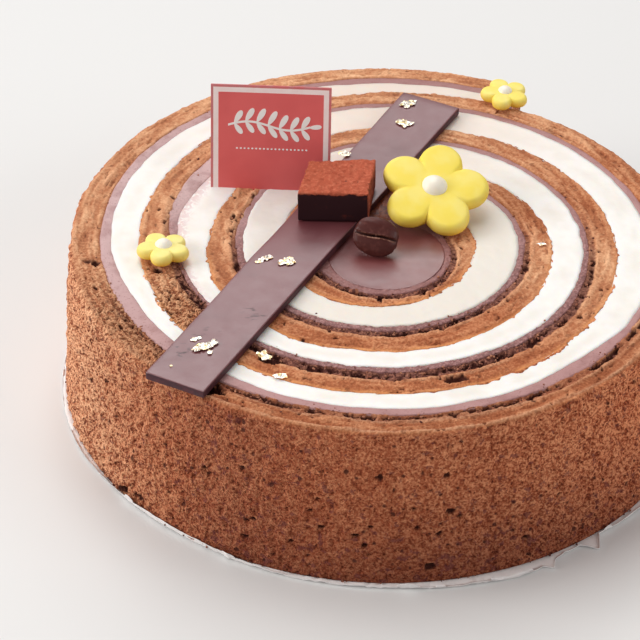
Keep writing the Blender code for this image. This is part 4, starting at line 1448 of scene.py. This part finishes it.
def sprigOutlines():
    look = sprigLook
    middleX, middleZ = look["middle"]
    start, end, thick = look["twig"]

    def twigHeight(share):
        return middleZ + look["sway"] * sin(2 * pi * share)

    x0, x1 = middleX + start, middleX + end
    line = [(x0 + (x1 - x0) * k / 30, twigHeight(k / 30)) for k in range(31)]
    upper = [(x, z + thick / 2) for x, z in line]
    outlines = [upper + [(x, z - thick / 2) for x, z in reversed(line)]]
    for k in range(look["pairs"]):
        x = middleX - 9.0 + look["pairStep"] * k
        z = twigHeight((x - x0) / (x1 - x0))
        shorter = 0.16 * abs(k - 3)  # towards both ends of the twig
        for degrees, length, width in (look["upperLeaf"], look["lowerLeaf"]):
            outlines.append(leafOutline(x, z, degrees, length - shorter, width))
    outlines.append(leafOutline(middleX + 9.3, middleZ - 0.1, *look["tipLeaf"]))
    for k in range(look["dots"]):
        outlines.append(leafOutline(middleX - 8.6 + look["dotStep"] * k, middleZ - 6.0, *look["dot"]))
    return outlines


def cardMesh():
    # two faces cut along the lines of the print, joined round the edge, and then bowed
    look = cardLook
    width, thick, height = look["size"]
    bottom, edge, band = -look["depth"], look["edge"], look["band"]
    xs = [0, edge, edge + band, width - edge - band, width - edge, width]
    zs = [bottom, bottom + height - edge - band, bottom + height - edge, bottom + height]
    xs = sorted(xs + list(np.linspace(xs[2], xs[3], 30)[1:-1]))
    zs = sorted(zs + list(np.linspace(zs[0], zs[1], 30)[1:-1]))
    work = bmesh.new()
    loops = []
    for y in (-thick / 2, thick / 2):
        corner = [[work.verts.new((x, y, z)) for z in zs] for x in xs]
        for left, right in zip(corner, corner[1:]):
            for j in range(len(zs) - 1):
                face = work.faces.new((left[j], right[j], right[j + 1], left[j + 1]))
                middle = face.calc_center_median()
                inwards = min(middle.x, width - middle.x, bottom + height - middle.z)
                face.material_index = 0 if inwards > edge + band else (1 if inwards > edge else 2)
        foot, top = [column[0] for column in corner], [column[-1] for column in corner]
        loops.append(foot + corner[-1][1:-1] + top[::-1] + corner[0][-2:0:-1])
    front, back = loops
    for k in range(len(front)):
        after = (k + 1) % len(front)
        work.faces.new((front[k], front[after], back[after], back[k])).material_index = 2
    bmesh.ops.recalc_face_normals(work, faces=work.faces)
    for vertex in work.verts:
        vertex.co.y += cardBow(vertex.co)
    mesh = bpy.data.meshes.new("greetingCard")
    work.to_mesh(mesh)
    work.free()
    mesh.transform(cardPlace())
    return mesh


def ornamentMesh():
    # each outline is a thin raised shape on the card's face
    work = bmesh.new()
    for outline in sprigOutlines():
        front, back = (
            [work.verts.new((x * mm, z * mm, lift)) for x, z in outline] for lift in (0.05 * mm, -0.05 * mm)
        )
        work.faces.new(front)
        work.faces.new(back[::-1])
        for k in range(len(outline)):
            after = (k + 1) % len(outline)
            work.faces.new((front[k], back[k], back[after], front[after]))
    bmesh.ops.remove_doubles(work, verts=work.verts, dist=0.001 * mm)
    bmesh.ops.recalc_face_normals(work, faces=work.faces)
    mesh = bpy.data.meshes.new("cardOrnament")
    work.to_mesh(mesh)
    work.free()
    mesh.transform(Matrix.Rotation(pi / 2, 4, "X"))
    for vertex in mesh.vertices:
        vertex.co.y += cardBow(vertex.co) - cardLook["size"][1] / 2 - 0.03 * mm
    mesh.transform(cardPlace())
    return mesh


def printFinish(name, colour, deep, roughness, size, low, most):
    # an even printed colour with faint patches
    f = Finish(name, colour, roughness)
    f.colour(f.patched(colour, deep, f.noise(size, 2), low, 0.7, most))
    return f


def makeCard():
    look = cardLook
    red = printFinish("card red", look["red"], look["redDeep"], 0.38, 9 * mm, 0.40, 0.7)
    red.rough(red.between(red.noise(3 * mm, 3), 0.3, 0.7, 0.34, 0.46))
    red.bump(red.noise(0.35 * mm, 2), 0.02 * mm, 0.35)
    pale = printFinish("card pale border", look["pale"], look["paleDeep"], 0.45, 2 * mm, 0.4, 0.5)
    rim = printFinish("card rim", look["rim"], look["redDeep"], 0.5, 2 * mm, 0.4, 0.5)
    ink = printFinish("card ornament", look["ink"], look["inkDeep"], 0.45, 1.5 * mm, 0.4, 0.5)
    mesh = cardMesh()
    addPiece("greetingCard", mesh, red.material, "card", "greeting_card")
    mesh.materials.append(pale.material)
    mesh.materials.append(rim.material)
    addPiece("cardOrnament", ornamentMesh(), ink.material, "card")


makeCard()
print("card done")


paperLook = {
    "thickness": 0.08 * mm,
    "stations": 1400,
    "ring": 78 * mm,  # where its crinkles are measured
    "limit": (79.15 * mm, 79.4 * mm),  # how far it may reach along x and y
    "colour": (0.97, 0.93, 0.92),
    "fibre": (0.92, 0.85, 0.83),
    # how far out the edge lies, by angle in degrees and millimetres
    "edge": (
        (0, 79.0), (40, 79.0), (90, 79.0), (140, 78.6), (190, 78.9), (206, 78.6), (214, 77.6),
        (221, 77.0), (240, 77.4), (258, 78.4), (274, 79.2), (281, 80.0), (288, 80.5), (294, 81.3),
        (299, 80.8), (304, 79.4), (312, 79.2), (320, 80.0), (340, 79.4), (360, 79.0),
    ),
    # folded tabs: angle, half width in degrees, reach and rise in millimetres
    "tabs": (
        (221.2, 1.2, 0.4, 1.6), (244.2, 1.3, 0.9, 1.2), (275.8, 1.9, 0.6, 1.8), (300.2, 1.3, 2.2, 0.3),
        (309.2, 2.2, 3.6, 0.4), (313.5, 0.9, 0.2, 1.2), (288.0, 3.0, 0.0, 0.8), (30.0, 2.0, 0.5, 1.4),
        (75.0, 1.6, 0.3, 1.8), (118.0, 2.4, 0.4, 1.3), (160.0, 1.8, 0.3, 1.0),
    ),
}


def paperEdge(angles, degree, foot):
    # how far out the paper reaches, and the height of its lip in millimetres
    look = paperLook
    degrees, reaches = zip(*look["edge"])
    edge = np.interp(degree, degrees, reaches) * mm
    edge = np.maximum(edge, foot + 0.55 * mm)
    circle = np.stack([np.cos(angles), np.sin(angles), 0 * angles], -1) * look["ring"]
    lip = 0.55 + 1.25 * bell(degree, 234, 13) + 0.35 * bell(degree, 90, 60) + 0.3 * bell(degree, 325, 14)
    lip = lip + 0.32 * softNoise(circle, 9 * mm, 91) + 0.28 * softNoise(circle, 3.0 * mm, 92)
    for angle, width, reach, rise in look["tabs"]:
        near = np.clip(1 - np.abs((degree - angle + 180) % 360 - 180) / width, 0, 1)
        edge = edge + reach * mm * near
        lip = lip + rise * np.sqrt(near)
    # it lies flatter in front, on the left and in its widest tab
    lip = lip * (1 - 0.60 * bell(degree, 292, 11)) * (1 - 0.7 * bell(degree, 192, 16))
    lip = lip * (1 - 0.8 * np.clip(1 - np.abs(degree - 309.2) / 2.4, 0, 1))
    inX = look["limit"][0] / np.maximum(np.abs(np.cos(angles)), 0.01)
    inY = look["limit"][1] / np.maximum(np.abs(np.sin(angles)), 0.01)
    return np.minimum(edge, np.minimum(inX, inY)), lip


def paperFinish():
    look = paperLook
    f = Finish("baking paper", look["colour"], 0.42, Specular_IOR_Level=0.5)
    fibre = f.noise(2.2 * mm, 4, 0.6)
    f.colour(f.patched(look["colour"], look["fibre"], fibre, 0.45, 0.75, 0.6))
    f.rough(f.between(fibre, 0.3, 0.7, 0.35, 0.55))
    f.bump(f.noise(0.8 * mm, 3), 0.08 * mm, 0.6)
    return f.material


def thicken(piece, thickness):
    solid = piece.modifiers.new("thickness", "SOLIDIFY")
    solid.thickness = thickness
    solid.offset = 0


def makePaper():
    look = paperLook
    count = look["stations"]
    angles = np.linspace(0, 2 * pi, count + 1)[:-1]
    degree = np.degrees(angles)
    turn = (angles - roll["outerEnd"]) / (2 * pi) % 1
    foot = rimEdge(turn) * roll["spread"]
    edge, lip = paperEdge(angles, degree, foot)
    # flat on the floor out to the fold, then up the lip
    start = foot - 1.5 * mm
    fold = edge - np.minimum(0.32 * lip * mm, 0.75 * (edge - foot))
    flatShares, lipShares = np.array([-3.0, -1.2, 0.0, 0.3, 0.55, 0.78, 1.0]), np.linspace(0, 1, 9)[1:]
    out = np.hstack([
        start[:, None] + (fold - start)[:, None] * flatShares,
        fold[:, None] + (edge - fold)[:, None] * lipShares**1.4,
    ])
    shares = np.concatenate([0 * flatShares, lipShares])
    z = 0.16 * mm + lip[:, None] * mm * shares
    right, back = np.cos(angles)[:, None], np.sin(angles)[:, None]
    x, y = out * right, out * back
    # crinkles run outwards like a fan
    fan = np.stack([right * look["ring"] + 0 * x, back * look["ring"] + 0 * x, out * 0.25], -1)
    crinkle = np.abs(softNoise(fan, 2.4 * mm, 93)) * 0.40 + np.abs(softNoise(fan, 1.1 * mm, 94)) * 0.25
    crinkle = crinkle + softNoise(np.stack([x, y, 0 * x], -1), 1.3 * mm, 95) * 0.10
    z = z + crinkle * mm * np.concatenate([[0, 0, 0, 0.4, 0.8, 1, 1], 1 - 0.5 * lipShares])
    z = np.maximum(z, 0.12 * mm)
    grid = np.stack([x, y, z], -1)
    number = np.arange(count * len(shares)).reshape(count, -1)
    after = np.roll(number, -1, 0)
    quads = np.stack([number[:, :-1], after[:, :-1], after[:, 1:], number[:, 1:]], -1).reshape(-1, 4)
    mesh = bpy.data.meshes.new("bakingPaper")
    faces = quads.tolist() + [number[::-1, 0].tolist()]
    mesh.from_pydata(grid.reshape(-1, 3).tolist(), [], faces)
    turnOutward(mesh)
    mesh.shade_smooth()
    piece = addPiece("bakingPaper", mesh, paperFinish(), "baking_paper", "baking_paper")
    thicken(piece, look["thickness"])


makePaper()
print("paper done")


leafLook = {
    "gold": (0.98, 0.74, 0.36),
    # patches of this pale colour are painted reflection
    "pale": (1.0, 0.95, 0.86),
    "thickness": 0.03 * mm,
    "rings": 5,
    "around": 34,
    # place on the cake, half length and half width in millimetres, turn in degrees
    "onStrip": (
        (-40.4, -48.2, 2.0, 1.5, 15), (-37.8, -46.6, 1.5, 1.0, 50), (-38.2, -49.6, 0.8, 0.5, 80),
        (-42.0, -45.0, 0.9, 0.6, 20), (-41.0, -44.5, 0.6, 0.5, 80), (-46.7, -54.8, 0.32, 0.28, 0),
        (-28.5, -14.6, 0.9, 0.8, 0), (-26.6, -13.2, 1.3, 0.9, 40), (-22.6, -14.9, 1.5, 0.9, 10),
        (-21.3, -14.4, 1.5, 1.3, 70), (6.5, 54.2, 2.2, 1.7, 40), (5.6, 45.4, 1.8, 1.6, 10),
        (-9.3, 31.0, 1.6, 1.1, 0),
    ),
    "onSponge": (
        (-26.0, -48.1, 1.8, 1.1, 125), (-25.2, -48.9, 0.9, 0.7, 0), (-22.0, -55.5, 1.7, 0.9, 165),
        (38.9, -2.9, 0.9, 0.7, 0),
    ),
}
crumbLook = {
    "onCream": 130,  # how many are tried in each place
    "atHollows": 2300,
    "onPaper": 90,
    "largest": (-6.1 * mm, -23.2 * mm, cakeTop + 0.3 * mm, 2.0 * mm),
    "colour": (0.30, 0.110, 0.068),
    "light": (0.52, 0.235, 0.140),
    "dark": (0.110, 0.038, 0.031),
}


def blobs(name, places, subdivisions, roughness, flat):
    # many small uneven lumps joined in one mesh; a place is x, y, z, size
    bpy.ops.mesh.primitive_ico_sphere_add(subdivisions=subdivisions, radius=1)
    lump = takeMesh(name)
    unit = getPoints(lump)
    faces = np.array([face.vertices for face in lump.polygons])
    bpy.data.meshes.remove(lump)
    points, allFaces = [], []
    for k, (x, y, z, size) in enumerate(places):
        spin = np.array(Euler(dice.random(3) * 6.28).to_matrix())
        shape = unit * (1 + roughness * softNoise(unit + k * 7.3, 0.8, 5))[:, None]
        shape = shape * (0.75 + 0.5 * dice.random(3)) @ spin.T * size / 2
        shape[:, 2] *= flat
        points.append(shape + (x, y, z))
        allFaces.append(faces + k * len(unit))
    mesh = bpy.data.meshes.new(name)
    mesh.from_pydata(np.vstack(points).tolist(), [], np.vstack(allFaces).tolist())
    mesh.update()
    mesh.shade_smooth()
    return mesh


def flakePoints(k, x, y, long, wide, turn, base):
    # a crumpled sheet with a torn outline, in rings from its middle out
    look = leafLook
    angles = np.linspace(0, 2 * pi, look["around"] + 1)[:-1]
    outline = np.stack([np.cos(angles), np.sin(angles), 0 * angles + k * 3.7], -1)
    torn = 1 + 0.42 * softNoise(outline, 0.65, 103) + 0.28 * softNoise(outline, 0.26, 104)
    points = []
    for ring in range(look["rings"] + 1):
        share = ring / look["rings"]
        for a, t in zip(angles, torn):
            u, v = long * cos(a) * t * share, wide * sin(a) * t * share
            px = x + u * cos(radians(turn)) - v * sin(radians(turn))
            py = y + u * sin(radians(turn)) + v * cos(radians(turn))
            here = np.array([[px, py, k * 5.0]])
            fine = abs(float(softNoise(here, 0.55, 101)[0]))
            lift = 0.10 + 0.30 * fine + 0.30 * abs(float(softNoise(here, 1.3, 102)[0]))
            points.append((px * mm, py * mm, base + lift * mm * min(1.0, wide)))
    return points


def makeGoldLeaf():
    look = leafLook
    rings, around = look["rings"], look["around"]
    places = [(*place, stripTop) for place in look["onStrip"]]
    places += [(*place, cakeTop + 0.35 * mm) for place in look["onSponge"]]
    points, faces = [], []
    for k, place in enumerate(places):
        first = len(points)
        points += flakePoints(k, *place)
        for ring in range(rings):
            for j in range(around):
                a, b = first + ring * around + j, first + ring * around + (j + 1) % around
                faces.append((a, b, b + around, a + around) if ring else (a, b + around, a + around))
    mesh = bpy.data.meshes.new("goldLeaf")
    mesh.from_pydata(points, [], faces)
    work = bmesh.new()
    work.from_mesh(mesh)
    bmesh.ops.remove_doubles(work, verts=work.verts, dist=0.002 * mm)
    work.to_mesh(mesh)
    work.free()
    f = Finish("gold leaf", look["gold"], 0.30, Metallic=0.8)
    # pale patches in the gold leaf, painted reflection
    f.colour(f.patched(look["gold"], look["pale"], f.noise(1.1 * mm, 3), 0.36, 0.56))
    f.bump(f.noise(0.35 * mm, 2), 0.05 * mm, 0.5)
    thicken(addPiece("goldLeaf", mesh, f.material, "pearl"), look["thickness"])


def crumbPlaces():
    look = crumbLook
    places = []

    def drop(radius, turn, height, size):
        angle = turnAngle(turn)
        places.append((radius * cos(angle), radius * sin(angle), height, size))

    for _ in range(look["onCream"]):  # close to the torn edge of the sponge
        turn = 0.22 + 2.9 * dice.random()
        if dice.random() > float(frontness(turn)) ** 1.5:
            continue
        edge, cream = float(innerEdge(turn)), float(creamBorder(turn))
        inwards = abs(dice.normal(0, 1)) * 0.4 * mm
        if dice.random() < 0.18 and turn > 1:
            radius = cream - inwards
        else:
            radius = edge - (edge - cream) * dice.random() ** 3
        size = (0.16 + 0.34 * dice.random() ** 2) * mm
        drop(radius, turn, cakeTop - 0.15 * mm + size * 0.2, size)
    for _ in range(look["atHollows"]):  # a fringe along the torn hollows
        turn = 0.02 + 3.8 * dice.random()
        if dice.random() > 0.04 + 0.96 * float(frontness(turn)) ** 1.3:
            continue
        edge, rim = float(innerEdge(turn)), float(rimEdge(turn))
        middle = 1.1 if turn < 1 else 1.4
        radius = min(edge + (middle + dice.normal(0, 0.8)) * mm, rim - 0.4 * mm)
        height = cakeTop - (0.15 + 0.50 * dice.random()) * mm
        size = (0.28 + 0.50 * dice.random() ** 1.5) * mm
        drop(max(radius, edge - 0.2 * mm), turn, height, size)
    for _ in range(look["onPaper"]):  # fallen round the foot
        turn = dice.random()
        size = (0.25 + 0.45 * dice.random() ** 2) * mm
        radius = float(rimEdge(turn)) * roll["spread"] + (0.1 + 0.4 * dice.random()) * mm
        drop(radius, turn, 0.7 * mm + size * 0.3, size)
    places.append(look["largest"])
    return places


def makeCrumbs():
    look = crumbLook
    mesh = blobs("crumbs", crumbPlaces(), 2, 0.45, 0.8)
    f = Finish("loose crumb", look["colour"], 0.95, Specular_IOR_Level=0.15)
    base = f.patched(look["colour"], look["light"], f.noise(1.4 * mm, 2), 0.46, 0.66)
    darker = f.noise(1.7 * mm, 2, vector=f.stretched(1.1, 0.9, 1))
    f.colour(f.patched(base, look["dark"], darker, 0.46, 0.58))
    f.bump(f.noise(0.25 * mm, 2), 0.08 * mm, 0.7)
    addPiece("crumbs", mesh, f.material, "sponge")
    print("crumbs", len(mesh.polygons), "faces")


makeGoldLeaf()
makeCrumbs()
print("gold leaf and crumbs done")
